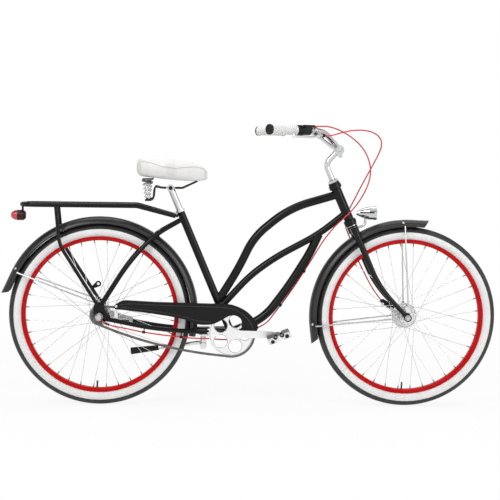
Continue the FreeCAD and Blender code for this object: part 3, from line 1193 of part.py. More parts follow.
# Tail light hung from the rear of the rack
tail_light_height = size.rack_height - size.tail_light_drop
tail_base = at(size.tail_light_front_x, 0, tail_light_height)
tail_body = turned("tail_body", [("0", "0"), ("0", "tail_front_radius"), ("tail_round",
        "tail_light_radius"), ("tail_body_length", "tail_light_radius"),
                                 ("tail_body_length", "0")], tail_base, backward)
tail_lens = turned("tail_lens", [("0", "0"), ("0", "tail_light_radius - lens_gap"),
                                 ("tail_lens_length - tail_round",
                                  "tail_light_radius - lens_gap - light_shell_wall"),
                                 ("tail_lens_length", "tail_dome_radius"), ("tail_lens_length", "0")],
                   tail_base + backward * size.tail_body_length, backward)
hanger_base = at(size.rack_rear_x, 0, tail_light_height)
tail_hanger = doc.addObject("Part::Cylinder", "tail_hanger")
tail_hanger.setExpression("Radius", cells("tail_hanger_radius"))
tail_hanger.Height = size.tail_light_drop - size.rack_radius - size.hanger_gap
place(tail_hanger, hanger_base)
node("tail_light_body", [fuse("tail_light_joined", [tail_body, tail_hanger])])
node("tail_light_lens", [tail_lens])

# Drive: toothed wheels, chain of alternating links, crankset and pedals
pedal_tilt = math.radians(21)
crank_turn = 0
ring_holes = 5
seat_arc = math.radians(70)


def pitch_radius(teeth):
    return size.chain_pitch / 2 / math.sin(math.pi / teeth)


def toothed_face(teeth, centre, phase):
    """Toothed outline: a round seat for each roller, with flanks that open outward."""
    middle = pitch_radius(teeth)
    tip = middle + size.tooth_height
    seat = size.roller_radius + size.seat_clearance
    edges = []
    last = None
    first = None
    for number in range(teeth):
        angle = math.degrees(phase) + 360.0 * number / teeth
        out = circle_point(Vector(0, 0, 0), 1, angle)
        along = tangent(angle)
        hub = centre + out * middle
        low = hub - out * (seat * math.cos(seat_arc)) - along * (seat * math.sin(seat_arc))
        high = hub - out * (seat * math.cos(seat_arc)) + along * (seat * math.sin(seat_arc))
        climb = tip - middle + seat * math.cos(seat_arc)
        slope = climb / math.tan(seat_arc)
        low_tip = low + out * climb - along * slope
        high_tip = high + out * climb + along * slope
        if last is not None:
            edges.append(Part.LineSegment(last, low_tip).toShape())
        else:
            first = low_tip
        edges.append(Part.LineSegment(low_tip, low).toShape())
        edges.append(Part.Arc(low, hub - out * seat, high).toShape())
        edges.append(Part.LineSegment(high, high_tip).toShape())
        last = high_tip
    edges.append(Part.LineSegment(last, first).toShape())
    return Part.Face(Part.Wire(edges))


ring_teeth = int(size.chainring_teeth)
rear_teeth = int(size.sprocket_teeth)
ring_pitch = pitch_radius(ring_teeth)
rear_pitch = pitch_radius(rear_teeth)
axle_way = Vector(bracket.x - rear_axle.x, 0, bracket.z - rear_axle.z)
axle_distance = axle_way.Length
axle_way.normalize()
axle_side = Vector(-axle_way.z, 0, axle_way.x)
lean = (rear_pitch - ring_pitch) / axle_distance
upper_normal = axle_way * lean + axle_side * math.sqrt(1 - lean * lean)
lower_normal = axle_way * lean - axle_side * math.sqrt(1 - lean * lean)
upper_angle = math.atan2(upper_normal.z, upper_normal.x)
lower_angle = math.atan2(lower_normal.z, lower_normal.x)
run_length = math.sqrt(axle_distance ** 2 - (ring_pitch - rear_pitch) ** 2)
ring_links = (upper_angle - lower_angle) / (2 * math.pi) * ring_teeth
rear_links = (2 * math.pi - upper_angle + lower_angle) / (2 * math.pi) * rear_teeth
run_links = run_length / size.chain_pitch
link_count = 2 * math.ceil((ring_links + rear_links + run_links * 2) / 2)
slack_length = (link_count - ring_links - rear_links - run_links) * size.chain_pitch


flattest_sag = 0.0001
deepest_sag = 1.5


def sag_half_angle(chord, arc):
    """Half angle of the shallow arc that a slack run of chain hangs in."""
    low, high = flattest_sag, deepest_sag
    for step in range(60):
        middle = (low + high) / 2
        if math.sin(middle) / middle > chord / arc:
            low = middle
        else:
            high = middle
    return low


sag = sag_half_angle(run_length, slack_length)
sag_radius = run_length / 2 / math.sin(sag)
ring_lower = bracket + lower_normal * ring_pitch
rear_lower = rear_axle + lower_normal * rear_pitch
run_back = rear_lower - ring_lower
run_back.normalize()
sag_centre = (ring_lower + rear_lower) / 2 - lower_normal * (sag_radius * math.cos(sag))


def chain_point(link):
    """Place of a roller, counted in links from the upper end of the wrap on the chainring."""
    if link <= ring_links:
        turn = upper_angle - 2 * math.pi * link / ring_teeth
        return circle_point(bracket, ring_pitch, math.degrees(turn))
    link = link - ring_links
    slack_links = slack_length / size.chain_pitch
    if link <= slack_links:
        turn = sag * (2 * link / slack_links - 1)
        drop = lower_normal * (sag_radius * math.cos(turn))
        return sag_centre + drop + run_back * (sag_radius * math.sin(turn))
    link = link - slack_links
    if link <= rear_links:
        turn = lower_angle - 2 * math.pi * link / rear_teeth
        return circle_point(rear_axle, rear_pitch, math.degrees(turn))
    link = link - rear_links
    return rear_axle + upper_normal * rear_pitch + (
        bracket + upper_normal * ring_pitch - rear_axle - upper_normal * rear_pitch) * (link / run_links)


def link_plate(first, second, y, thickness):
    """Side plate of one link with round ends."""
    way = second - first
    way.normalize()
    side = Vector(-way.z, 0, way.x) * size.link_radius
    lift = across * y
    a, b, c, e = first + side + lift, second + side + lift, second - side + lift, first - side + lift
    outline = Part.Wire([
        Part.LineSegment(a, b).toShape(), Part.Arc(b, second + way * size.link_radius + lift, c).toShape(),
        Part.LineSegment(c, e).toShape(), Part.Arc(e, first - way * size.link_radius + lift, a).toShape()])
    return Part.Face(outline).extrude(across * thickness)


chain_centre = across * -size.chain_line
rollers = [chain_point(number) + chain_centre for number in range(link_count)]
chain_solids = []
for number in range(link_count):
    first = rollers[number]
    second = rollers[(number + 1) % link_count]
    chain_solids.append(Part.makeCylinder(size.roller_radius, size.roller_half * 2,
                                          first - across * size.roller_half, across))
    inner = size.roller_half + (size.plate_thickness if number % 2 else 0)
    chain_solids.append(link_plate(first, second, inner, size.plate_thickness))
    chain_solids.append(link_plate(first, second, -inner - size.plate_thickness, size.plate_thickness))
node("chain", [feature("chain_links", Part.makeCompound(chain_solids))])

rear_first = math.ceil(ring_links + slack_length / size.chain_pitch)
rear_lead = rear_first - ring_links - slack_length / size.chain_pitch
rear_phase = lower_angle - 2 * math.pi * rear_lead / rear_teeth
sprocket_disc = toothed_face(rear_teeth, rear_axle, rear_phase).extrude(across * size.tooth_thickness)
sprocket_disc.translate(across * (-size.chain_line - size.tooth_thickness / 2))
hub_face = -size.rear_flange_y - size.rear_cap_length - size.hub_gap
boss = Part.makeCylinder(size.sprocket_boss_radius, hub_face + size.chain_line + size.tooth_height,
                         rear_axle - across * (size.chain_line + size.tooth_height), across)
sprocket_bore = Part.makeCylinder(size.hub_bore, size.dropout_inner_y,
                                  rear_axle - across * size.dropout_inner_y, across)
node("rear_sprocket", [feature("sprocket_body", sprocket_disc.fuse(boss).cut(sprocket_bore))])

ring_disc = toothed_face(ring_teeth, bracket, upper_angle).extrude(across * size.tooth_thickness)
ring_disc.translate(across * (-size.chain_line - size.tooth_thickness / 2))
for number in range(ring_holes):
    centre = circle_point(bracket, size.ring_hole_circle, crank_turn + 360.0 * number / ring_holes)
    ring_disc = ring_disc.cut(Part.makeCylinder(size.ring_hole_radius, size.chain_line * 2,
                                                centre - across * size.chain_line * 2, across))
spider = Part.makeCylinder(size.spider_radius, size.arm_inner_y - size.chain_line,
                           bracket - across * size.arm_inner_y, across)
spindle_hole = Part.makeCylinder(size.spindle_radius, size.arm_inner_y * 2,
                                 bracket - across * size.arm_inner_y, across)
node("chainring", [feature("chainring_body", ring_disc.fuse(spider).cut(spindle_hole))])
spindle_half = size.arm_inner_y + size.arm_plate
spindle = cylinder("spindle_bar", "spindle_radius", "arm_inner_y + arm_inner_y + arm_plate + arm_plate",
                   bracket - across * spindle_half, across)
crank_pieces = [spindle]
pedal_centres = {}
for side, hand in (("right", -1), ("left", 1)):
    pedal_centre = circle_point(bracket, size.crank_length, crank_turn if hand == -1 else crank_turn + 180)
    pedal_centres[hand] = pedal_centre
    middle = across * (hand * (size.arm_inner_y + size.arm_plate / 2))
    arm = hull_plate("crank_arm_" + side, bracket, size.arm_boss_radius, pedal_centre,
                     size.arm_pedal_radius, "arm_plate", middle,
                     holes=((bracket, size.spindle_radius),))
    face = size.arm_inner_y + size.arm_plate
    axle = cylinder("pedal_axle_" + side, "pedal_axle_radius", "pedal_axle_length",
                    pedal_centre + across * (hand * face), across * hand)
    bolt = cylinder("crank_bolt_" + side, "arm_bolt_radius", "arm_bolt_length",
                    bracket + across * (hand * face), across * hand)
    crank_pieces += [arm, axle, bolt]
node("crank_arms", crank_pieces)


def pedal(side, hand):
    """Pedal of two rubber blocks in a cage with a sleeve that turns on the pedal axle."""
    inner = size.arm_inner_y + size.arm_plate + size.pedal_gap
    centre = pedal_centres[hand] + across * (hand * (inner + size.pedal_width / 2))
    turn = FreeCAD.Rotation(across, -math.degrees(pedal_tilt))
    cage = [cylinder("pedal_sleeve_" + side, "pedal_sleeve_radius", "pedal_width",
                     centre - across * size.pedal_width / 2, across)]
    for end, sign in (("inner", -1), ("outer", 1)):
        corner = centre + across * (sign * (size.pedal_width - size.cage_plate) / 2)
        corner = corner - turn.multVec(Vector(0, 0, size.cage_height / 2))
        cage.append(block("pedal_plate_%s_%s" % (end, side), "cage_length", "cage_plate", "cage_height",
                          corner, turn))
    bore = cylinder("pedal_bore_" + side, "pedal_axle_radius + pedal_fit",
                    "pedal_width + cut_overrun + cut_overrun",
                    centre - across * (size.pedal_width / 2 + size.cut_overrun), across)
    pieces = [cut("pedal_cage_" + side, fuse("pedal_cage_joined_" + side, cage), [bore])]
    for end, sign in (("front", 1), ("back", -1)):
        corner = centre + turn.multVec(Vector(sign * size.block_offset, 0, -size.block_height / 2))
        tread = block("pedal_block_bar_%s_%s" % (end, side), "block_length",
                      "pedal_width - cage_plate - cage_plate", "block_height", corner, turn)
        pieces.append(tread)
    return pieces


node("pedal_right", pedal("right", -1))
node("pedal_left", pedal("left", 1))

# Chain guard: a stamped sheet outside the chain with a lip along its top
guard_shares = [(-1.0, 0.91), (-0.926, 1.11), (-0.65, 1.055), (-0.14, 1.01), (0.02, 0.985)]
guard_front_shares = [(0.128, 0.78), (0.205, 0.47), (0.243, 0.09)]
guard_inner_shares = [(0.086, 0.11), (0.088, 0.49), (0.035, 0.63), (-0.023, 0.61), (-0.081, 0.46)]
guard_lower_shares = [(-0.162, 0.3), (-0.283, 0.29), (-0.38, 0.46), (-0.534, 0.58), (-0.69, 0.67), (-0.926,
        0.78), (-0.985, 0.79)]
guard_outline_shares = guard_shares + guard_front_shares + guard_inner_shares + guard_lower_shares
guard_points = [bracket + Vector(along * size.guard_reach, -size.guard_y, rise * size.guard_radius)
                for along, rise in guard_outline_shares]
guard_outline = Part.Wire([edge.toShape() for edge in outline_edges(guard_points, True,
        radius=size.guard_radius)])
guard_face = Part.Face(guard_outline)
guard_sheet = guard_face.extrude(across * size.guard_sheet)
guard_edge = guard_face.cut(Part.Face(guard_outline.makeOffset2D(-size.guard_sheet)))
guard_lip = guard_edge.extrude(across * size.guard_lip_depth)
lip_room = Part.makeBox(size.wheelbase, size.guard_lip_depth, size.guard_radius,
                        Vector(rear_axle.x, -size.guard_y, bracket.z + size.guard_lip_rise))
guard_shape = guard_sheet.fuse(guard_lip.common(lip_room)).removeSplitter()
guard_screw = at(size.guard_screw_x, 0, size.guard_screw_height)
guard_inner_y = -size.guard_y + size.guard_sheet
tab_top = guard_screw + across * (guard_inner_y + size.guard_tab_sheet / 2) + Vector(0, 0,
        size.guard_tab_width / 2)
tab_bar = block("guard_tab_bar", "guard_tab_width", "guard_tab_sheet", "guard_tab_drop",
                tab_top - Vector(0, 0, size.guard_tab_drop))
guard_tab = cut("guard_tab", tab_bar, [chain_stays[0][1]])
post_place = on_seat(size.guard_post_height)
guard_post = cut("guard_post", feature("guard_post_bar", Part.makeCylinder(
    size.guard_post_radius, -guard_inner_y, post_place + across * guard_inner_y, across)), [seat_bar])
node("chain_guard", [feature("guard_sheet", guard_shape)])

# Rear axle with the gear box cover on its right end, and the coaster brake arm on its left
rear_axle_pieces = axle_set("rear_axle", rear_axle, "rear_inner_y", "dropout_thickness", "")
box_start = size.rear_inner_y + size.dropout_thickness + size.washer_length
box_start = box_start + size.axle_nut_length + size.axle_overhang
rear_axle_pieces.append(turned("gear_box", [("0", "0"), ("0", "gear_box_radius"),
                                            ("gear_box_length - gear_box_nose", "gear_box_radius"),
                                            ("gear_box_length", "gear_box_nose"), ("gear_box_length", "0")],
                               rear_axle - across * box_start, across * -1))
coaster_y = size.rear_flange_y + size.rear_cap_length + size.coaster_gap + size.coaster_plate / 2
coaster_tip = rear_axle + Vector(size.coaster_reach, 0, -size.coaster_drop)
coaster_arm = hull_plate("coaster_arm_plate", rear_axle, size.coaster_eye_radius, coaster_tip,
                         size.coaster_tip_radius, "coaster_plate",
                         across * coaster_y, holes=((rear_axle, size.axle_radius + size.sleeve_wall),))
stay_edges = chain_stays[1][1]
stay_start = at(size.chain_stay_rear_x, stay_y, size.chain_stay_rear_height)
stay_end = bracket + across * size.chain_stay_bracket_y
along_share, drop_share = chain_stay_shares[0]
stay_corner = stay_start + Vector((stay_end.x - stay_start.x) * along_share,
                                  (stay_end.y - stay_start.y) * along_share,
                                  (stay_end.z - stay_start.z) * drop_share)
stay_way = stay_corner - stay_start
clip_share = (coaster_tip.x - stay_start.x) / stay_way.x
clip_centre = stay_start + stay_way * clip_share
stay_way.normalize()
clip_ring = cylinder("coaster_clip_ring", "stay_radius + clip_wall", "clip_length",
                     clip_centre - stay_way * size.clip_length / 2, stay_way)
clip_post = Part.makeCylinder(size.clip_bolt_radius, clip_centre.y - coaster_y - size.coaster_plate / 2,
                              Vector(clip_centre.x, coaster_y + size.coaster_plate / 2,
                                     (clip_centre.z + coaster_tip.z) / 2), across)
coaster_clip = cut("coaster_clip", fuse("coaster_clip_joined", [clip_ring, feature("clip_post",
        clip_post)]), [stay_edges])
node("rear_axle", rear_axle_pieces + [coaster_arm, coaster_clip])

# Kickstand: barrel on a bracket behind the bottom bracket, leg folded up on the left side
stand_tilt = math.radians(23)
stand_axis = Vector(0, math.cos(stand_tilt), math.sin(stand_tilt))
stand_centre = at(size.stand_x, size.stand_y, size.stand_height)
barrel = cylinder("stand_barrel", "stand_barrel_radius", "stand_barrel_length",
                  stand_centre - stand_axis * size.stand_barrel_length, stand_axis)
stand_pin = cylinder("stand_pin", "stand_pin_radius", "stand_head_length", stand_centre, stand_axis)
stay_under = size.chain_bridge_height - size.stay_radius - size.stand_plate_thickness + size.stand_plate_rise
post_base = stand_centre - stand_axis * size.stand_barrel_length / 2
stand_post = Part.makeCylinder(size.stand_post_radius, stay_under - post_base.z, post_base)
head_room = Part.makeCylinder(size.stand_barrel_radius + size.stand_post_radius,
                              size.stand_head_length + size.stand_head_length,
                              stand_centre, stand_axis)
stand_post = stand_post.cut(head_room)
stand_plate = Part.makeBox(size.stand_plate_length, size.stand_plate_half * 2, size.stand_plate_thickness,
                           Vector(stand_centre.x - size.stand_plate_length / 2, -size.stand_plate_half,
                                  stay_under))
stand_base = fuse("stand_base_joined", [barrel, stand_pin, feature("stand_post", stand_post),
                                        feature("stand_plate", stand_plate)])
stand_bracket = cut("stand_bracket_body", stand_base, [bar for stay, bar in chain_stays] + [chain_bridge])
node("kickstand_bracket", [stand_bracket])
head_start = stand_centre + stand_axis * size.stand_gap
stand_head = cylinder("stand_head", "stand_barrel_radius", "stand_head_length", head_start, stand_axis)
leg_start = head_start + stand_axis * size.stand_head_length / 2
leg_end = leg_start + Vector(-size.stand_leg_back, size.stand_leg_out, -size.stand_leg_drop)
leg_way = leg_end - leg_start
foot_start = leg_start + leg_way * (size.stand_foot_back / size.stand_leg_back)
leg_bar = feature("stand_leg_bar", Part.makeCylinder(size.stand_leg_radius, leg_way.Length, leg_start,
                                                     leg_way))
pin_bore = cylinder("stand_pin_bore", "stand_pin_radius + stand_pin_fit", "stand_head_length + stand_gap",
                    stand_centre, stand_axis)
stand_leg = cut("stand_leg", fuse("stand_leg_joined", [stand_head, leg_bar]), [pin_bore])
leg_way.normalize()
foot_length = (leg_end - foot_start).Length + size.stand_foot_radius
foot_bar = Part.makeCone(size.stand_foot_radius, size.stand_foot_flare, foot_length, foot_start, leg_way)
foot_room = Part.makeCylinder(size.stand_leg_radius, (leg_end - foot_start).Length, foot_start, leg_way)
node("kickstand_leg", [stand_leg])
node("kickstand_foot", [feature("stand_foot", foot_bar.cut(foot_room))])

# Seat post, saddle clamp, wire frame, coil springs and the padded cover
saddle_stations = [
    (0.0, 0.42, 0.80, 0.30), (0.06, 0.86, 0.97, 0.17), (0.2, 1.0, 1.0, 0.12), (0.4, 0.84, 0.95, 0.06),
    (0.58, 0.5, 0.91, 0.02),
    (0.78, 0.3, 0.86, 0.05), (0.94, 0.22, 0.7, 0.1), (1.0, 0.13, 0.52, 0.16),
]
spring_turns = 5
coil_samples = 48
saddle_foot_share = 0.86
saddle_shoulder_share = 0.8
saddle_side_rise_share = 0.42
saddle_shoulder_rise_share = 0.84


def saddle_section(along, width, top, bottom):
    """Closed section across the saddle: flat underside, drawn-in sides and a crowned top."""
    x = rear_axle_x + size.saddle_rear_x + size.saddle_length * along
    half = size.saddle_half_width * width
    low = size.saddle_low_height + size.saddle_depth * bottom
    high = size.saddle_low_height + size.saddle_depth * top
    depth = high - low
    foot = half * saddle_foot_share
    shoulder = half * saddle_shoulder_share

    def point(y, rise_share):
        return Vector(x, y, low + depth * rise_share)

    return Part.Wire([
        Part.LineSegment(point(foot, 0), point(-foot, 0)).toShape(),
        Part.Arc(point(-foot, 0), point(-half, saddle_side_rise_share), point(-shoulder,
                saddle_shoulder_rise_share)).toShape(),
        Part.Arc(point(-shoulder, saddle_shoulder_rise_share), point(0, 1), point(shoulder,
                saddle_shoulder_rise_share)).toShape(),
        Part.Arc(point(shoulder, saddle_shoulder_rise_share), point(half, saddle_side_rise_share),
                 point(foot, 0)).toShape(),
    ])


saddle_cover = Part.makeLoft([saddle_section(*station) for station in saddle_stations], True, False)
node("saddle_cover", [feature("saddle_pad", saddle_cover)])
post_bottom = on_seat(size.post_bottom_height)
post_top = on_seat(size.post_top_height)
post = doc.addObject("Part::Cylinder", "seat_post_bar")
post.setExpression("Radius", cells("seat_post_radius"))
post.Height = (post_top - post_bottom).Length
place(post, post_bottom, seat_up)
clamp_centre = on_seat(size.rail_height)
clamp_bar = cylinder("saddle_clamp_bar", "saddle_clamp_radius", "saddle_clamp_half + saddle_clamp_half",
                     clamp_centre - across * size.saddle_clamp_half, across)
node("seat_post", [cut("seat_post_body", post, [clamp_bar])])


def arc_between(first, corner, last):
    """Arc that leaves first towards the corner and arrives at last, with equal tangents."""
    back = first - corner
    on = last - corner
    half_turn = (math.pi - back.getAngle(on)) / 2
    reach = back.Length
    bend = reach / math.tan(half_turn)
    middle = back.normalize() + on.normalize()
    middle.normalize()
    return Part.Arc(first, corner + middle * (math.hypot(bend, reach) - bend), last).toShape()


def biarc(first, first_way, last, last_way):
    """Two tangent arcs between two points with given directions."""
    span = last - first
    ways = first_way + last_way
    spread = 2 * (1 - first_way.dot(last_way))
    along = span.dot(ways)
    reach = (-along + math.sqrt(along * along + spread * span.dot(span))) / spread
    start_corner = first + first_way * reach
    end_corner = last - last_way * reach
    joint = (start_corner + end_corner) / 2
    return [arc_between(first, start_corner, joint), arc_between(joint, end_corner, last)]


def coil_path(centre, turns, bottom_radius, top_radius, bottom, top):
    """Quarter turns of a tapering coil as tangent arcs, with their points and directions."""
    steps = turns * 4
    places = []
    for step in range(steps + 1):
        share = step / steps
        angle = 2 * math.pi * turns * share
        radius = bottom_radius + (top_radius - bottom_radius) * share
        swell = (top_radius - bottom_radius) / (2 * math.pi * turns)
        climb = (top - bottom) / (2 * math.pi * turns)
        point = centre + Vector(radius * math.cos(angle), radius * math.sin(angle),
                                bottom + (top - bottom) * share)
        way = Vector(swell * math.cos(angle) - radius * math.sin(angle),
                     swell * math.sin(angle) + radius * math.cos(angle), climb)
        way.normalize()
        places.append((point, way))
    edges = []
    for (first, first_way), (last, last_way) in zip(places, places[1:]):
        edges += biarc(first, first_way, last, last_way)
    return Part.Wire(edges), places


def least_coil_gap(path, turns, wire):
    """Least gap between the wires of neighbouring turns, measured on points along the coil."""
    points = path.discretize(Number=turns * coil_samples + 1)
    least = None
    for number, point in enumerate(points):
        for other in points[number + coil_samples // 2:]:
            gap = (other - point).Length - 2 * wire
            least = gap if least is None else min(least, gap)
    return least


springs = []
rails = []
for side, hand in (("right", -1), ("left", 1)):
    spring_place = at(size.spring_x, hand * size.spring_y, 0)
    path, places = coil_path(spring_place, spring_turns, size.spring_bottom_radius, size.spring_top_radius,
                             size.spring_bottom_height, size.spring_top_height)
    print("least gap between the turns of the", side, "spring:", round(least_coil_gap(path, spring_turns,
            size.spring_wire), 2))
    profile = Part.Wire(Part.Circle(places[0][0], places[0][1], size.spring_wire).toShape())
    springs.append(feature("saddle_spring_" + side, path.makePipeShell([profile], True, False)))
    under_spring = size.spring_bottom_height - size.spring_wire - size.rail_radius - size.spring_seat_gap
    tip = spring_place + Vector(-size.spring_bottom_radius, 0, under_spring)
    spring_front = spring_place + Vector(size.spring_top_radius + size.spring_wire + size.rail_radius, 0,
                                         size.rail_height + size.rail_rear_rise)
    corner_reach = size.spring_bottom_radius + size.spring_wire + size.rail_radius + size.rail_corner_gap
    rail_points = [at(size.rail_nose_x, hand * size.rail_nose_y, size.rail_nose_height),
                   clamp_centre + Vector(size.saddle_clamp_half + size.saddle_clamp_radius,
                                         hand * size.rail_y, 0),
                   clamp_centre + Vector(-size.saddle_clamp_half, hand * size.rail_y, 0),
                   spring_front, spring_place + Vector(corner_reach, 0, under_spring), tip]
    rails.append(feature("saddle_rail_bar_" + side, pipe(rail_points, size.rail_radius, bend=size.rail_bend)))
clamp_piece = cut("saddle_clamp_body", clamp_bar, rails)
node("saddle_frame", rails + [clamp_piece])
node("saddle_springs", springs)

# Cables: the shift cable in a steering loop and a run held along the frame, and the front brake cable
loop_route = [
    (808, -170, 1031), (848, -146, 1021), (890, -124, 1001), (928, -104, 974), (955, -88, 944), (972, -75,
            912),
    (981, -64, 878), (980, -54, 844), (970, -47, 810), (955, -42, 778), (936, -39, 748), (913, -38, 720),
    (888, -38, 696),
]
frame_route = [
    (846, -24, 652), (830, -13, 630), (812, -4, 602), (787, 0, 559), (712, 0, 436), (616, 0, 306), (580,
            -3, 286),
    (545, -8, 270), (515, -14, 254), (485, -20, 244), (445, -30, 245), (400, -36, 250), (359, -40, 250),
    (318, -42, 253), (277, -46, 258), (230, -48, 263), (184, -53, 270), (138, -57, 278), (98, -64, 288),
    (66, -75, 295), (42, -86, 302), (22, -92, 310),
]
brake_route = [
    (838, -150, 1001), (862, -118, 1008), (905, -96, 1018), (945, -80, 1020), (980, -66, 1015), (1006, -54,
            1002),
    (1021, -44, 983), (1023, -34, 960), (1013, -22, 930), (999, -13, 900), (966, 4, 834),
    (950, 14, 800), (935, 26, 766), (921, 42, 734), (909, 58, 703), (905, 70, 676), (912, 74, 650),
    (924, 71, 622), (938, 67, 585), (952, 61, 545), (985, 57, 480), (1012, 53, 430), (1052, 48, 378),
]


def routed(points):
    return [at(*[part * size.route_unit for part in point]) for point in points]


def bend_radii(points):
    """Bend radius at each inner point of a route."""
    radii = []
    for before, point, after in zip(points, points[1:], points[2:]):
        back = before - point
        on = after - point
        half_turn = (math.pi - back.getAngle(on)) / 2
        radii.append(round(corner_share * min(back.Length, on.Length) / math.tan(half_turn)))
    return radii


nose_end = on_bar(shifter_start + size.shifter_length + size.nose_length, size.nose_offset, shifter_up)
adjuster_end = adjuster_start + bar_way * size.adjuster_length
box_entry = rear_axle + Vector(size.box_entry_forward, -size.box_entry_y, -size.box_entry_drop)
frame_points = routed(frame_route) + [box_entry]
lead = frame_points[0] - frame_points[1]
lead.normalize()
loop_points = [nose_end + bar_way * size.cable_end_gap,
               nose_end + bar_way * size.cable_lead] + routed(loop_route)
loop_points += [frame_points[0] + lead * size.cable_lead, frame_points[0] + lead * size.cable_end_gap]
brake_points = [adjuster_end, adjuster_end + bar_way * size.adjuster_length] + routed(brake_route)
for label, points in (("shift_cable_loop", loop_points), ("shift_cable", frame_points),
                      ("front_brake_cable", brake_points)):
    shape = pipe(points, size.cable_radius)
    path = path_wire(points)
    print(label, "bend radii", bend_radii(points), "length", round(path.Length),
          "volume share", round(shape.Volume / (math.pi * size.cable_radius ** 2 * path.Length), 3))
    node(label, [feature(label + "_tube", shape)])

# Screws, bolts, posts and clips of the frame, and of the steering assembly
doc.recompute()
frame_cable_bar = pipe(frame_points, size.cable_radius)


def clip_on(name, points, number, carrier, carrier_point):
    """Ring on the cable with a short post to the tube that carries it."""
    way = points[number + 1] - points[number]
    middle = points[number] + way / 2
    way.normalize()
    ring = Part.makeCylinder(size.cable_radius + size.clip_ring_wall, size.clip_ring_length,
                             middle - way * size.clip_ring_length / 2, way)
    reach = carrier_point - middle
    post = Part.makeCylinder(size.clip_ring_wall, reach.Length, middle, reach)
    return feature(name, ring.fuse(post).cut(frame_cable_bar).cut(carrier))


def nearest_on(points, target):
    """Point on a tube's straight runs that lies nearest to a target."""
    best = None
    for first, second in zip(points, points[1:]):
        way = second - first
        share = max(0.0, min(1.0, (target - first).dot(way) / way.dot(way)))
        foot = first + way * share
        if best is None or (foot - target).Length < (best - target).Length:
            best = foot
    return best


right_stay_points = [mirrored(stay_start), mirrored(stay_corner), mirrored(stay_end)]
bolts = []
for number in (3, 4):
    middle = (frame_points[number] + frame_points[number + 1]) / 2
    bolts.append(clip_on("cable_clip_%d" % number, frame_points, number, down_bar.Shape,
                         nearest_on(down_points, middle)))
for number in (13, 16):
    middle = (frame_points[number] + frame_points[number + 1]) / 2
    bolts.append(clip_on("cable_clip_%d" % number, frame_points, number, chain_stays[0][1].Shape,
                         nearest_on(right_stay_points, middle)))
eyelet_cap_y = strut_y + size.strut_radius + size.strut_end_gap
for side, hand in (("right", -1), ("left", 1)):
    start = eyelet + across * (hand * size.dropout_inner_y)
    shank = Part.makeCylinder(size.eyelet_radius - size.stay_seat_gap * 2,
                              eyelet_cap_y - size.dropout_inner_y, start, across * hand)
    head = Part.makeCylinder(size.bolt_head_radius, size.bolt_head_length, start, across * -hand)
    cap = Part.makeCylinder(size.bolt_head_radius, size.bolt_head_length,
                            eyelet + across * (hand * eyelet_cap_y), across * hand)
    bolts.append(feature("eyelet_bolt_" + side, shank.fuse(head).fuse(cap)))
rack_bolt = Part.makeCylinder(size.rack_bolt_radius - size.stay_seat_gap, rack_bolt_half * 2,
                              rack_bolt_place - across * rack_bolt_half, across)
for hand in (-1, 1):
    face = rack_bolt_place + across * (hand * (size.rack_front_y + size.rack_radius + size.stay_seat_gap))
    rack_bolt = rack_bolt.fuse(Part.makeCylinder(size.bolt_head_radius, size.bolt_head_length, face,
                                                 across * hand))
bolts.append(feature("rack_bolt", rack_bolt))
for name, bar in (("seat", seat_bridge), ("chain", chain_bridge)):
    centre = bar.Placement.Base + across * size.dropout_inner_y
    way = centre - rear_axle
    length = way.Length - size.stay_bridge_radius - fender_radius - size.stay_seat_gap
    way.normalize()
    bolts.append(feature("fender_bolt_" + name, Part.makeCylinder(
        size.rack_bolt_radius, length, rear_axle + way * (fender_radius + size.stay_seat_gap), way)))
screw = Part.makeCylinder(size.screw_head_radius, size.screw_head_length,
                          guard_screw + across * -size.guard_y, across * -1)
bolts.append(feature("guard_screw", screw))
post_screw = Part.makeCylinder(size.screw_head_radius, size.screw_head_length,
                               post_place + across * -size.guard_y, across * -1)
bolts.append(feature("guard_post_screw", post_screw))
node("frame_fasteners", bolts + [guard_tab, guard_post, rack_lug, strap_eye, seat_clamp])

lock_nut = cut("lock_nut", hexagon("lock_nut_bar", "lock_nut_radius", "lock_nut_height",
                                   on_steer(steerer_top), steer), [steerer])
crown_bolt = feature("crown_bolt", Part.makeCylinder(size.rack_bolt_radius, crown_bottom - math.sqrt(
    fender_radius ** 2 - size.fork_rake ** 2), on_steer(crown_bottom),
    steer * -1).cut(front_fender.Shape))
fork_pieces = [lock_nut, clamp_bolt, crown_bolt]
for side, hand in (("right", -1), ("left", 1)):
    start = fork_eyelet + across * (hand * size.fork_inner_y)
    reach = front_stay_y + size.fender_stay_radius - size.fork_inner_y
    shank = Part.makeCylinder(size.eyelet_radius - size.stay_seat_gap * 2, reach, start, across * hand)
    cap = Part.makeCylinder(size.bolt_head_radius, size.bolt_head_length, start + across * (hand * reach),
                            across * hand)
    fork_pieces.append(feature("fork_eyelet_bolt_" + side, shank.fuse(cap)))
stop_way = brake_points[-1] - brake_points[-2]
stop_way.normalize()
stop = Part.makeCylinder(size.stop_radius, size.stop_length,
                         brake_points[-1] - stop_way * size.stop_length, stop_way)
fork_pieces.append(feature("cable_stop", stop.cut(pipe(brake_points,
                                                       size.cable_radius)).cut(brake_plate.Shape)))
node("fork_fasteners", fork_pieces)

doc.recompute()
faults = [item.Name for item in doc.Objects if "Invalid" in item.State or "Error" in item.State]
for label, piece in nodes.items():
    if piece.Shape.isNull() or not piece.Shape.isValid():
        faults.append(label)
if faults:
    raise RuntimeError("faulty pieces: " + ", ".join(faults))
for label, piece in nodes.items():
    piece.Shape.exportStep("parts/%s.step" % label)
    print(label, len(piece.Shape.Solids), round(piece.Shape.Volume))
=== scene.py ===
"""Looks of the beach cruiser bicycle: finishes, padded saddle, springs, cable loop, trim and a studio."""
import math

import bpy
from mathutils import Matrix, Vector
from mathutils.bvhtree import BVHTree


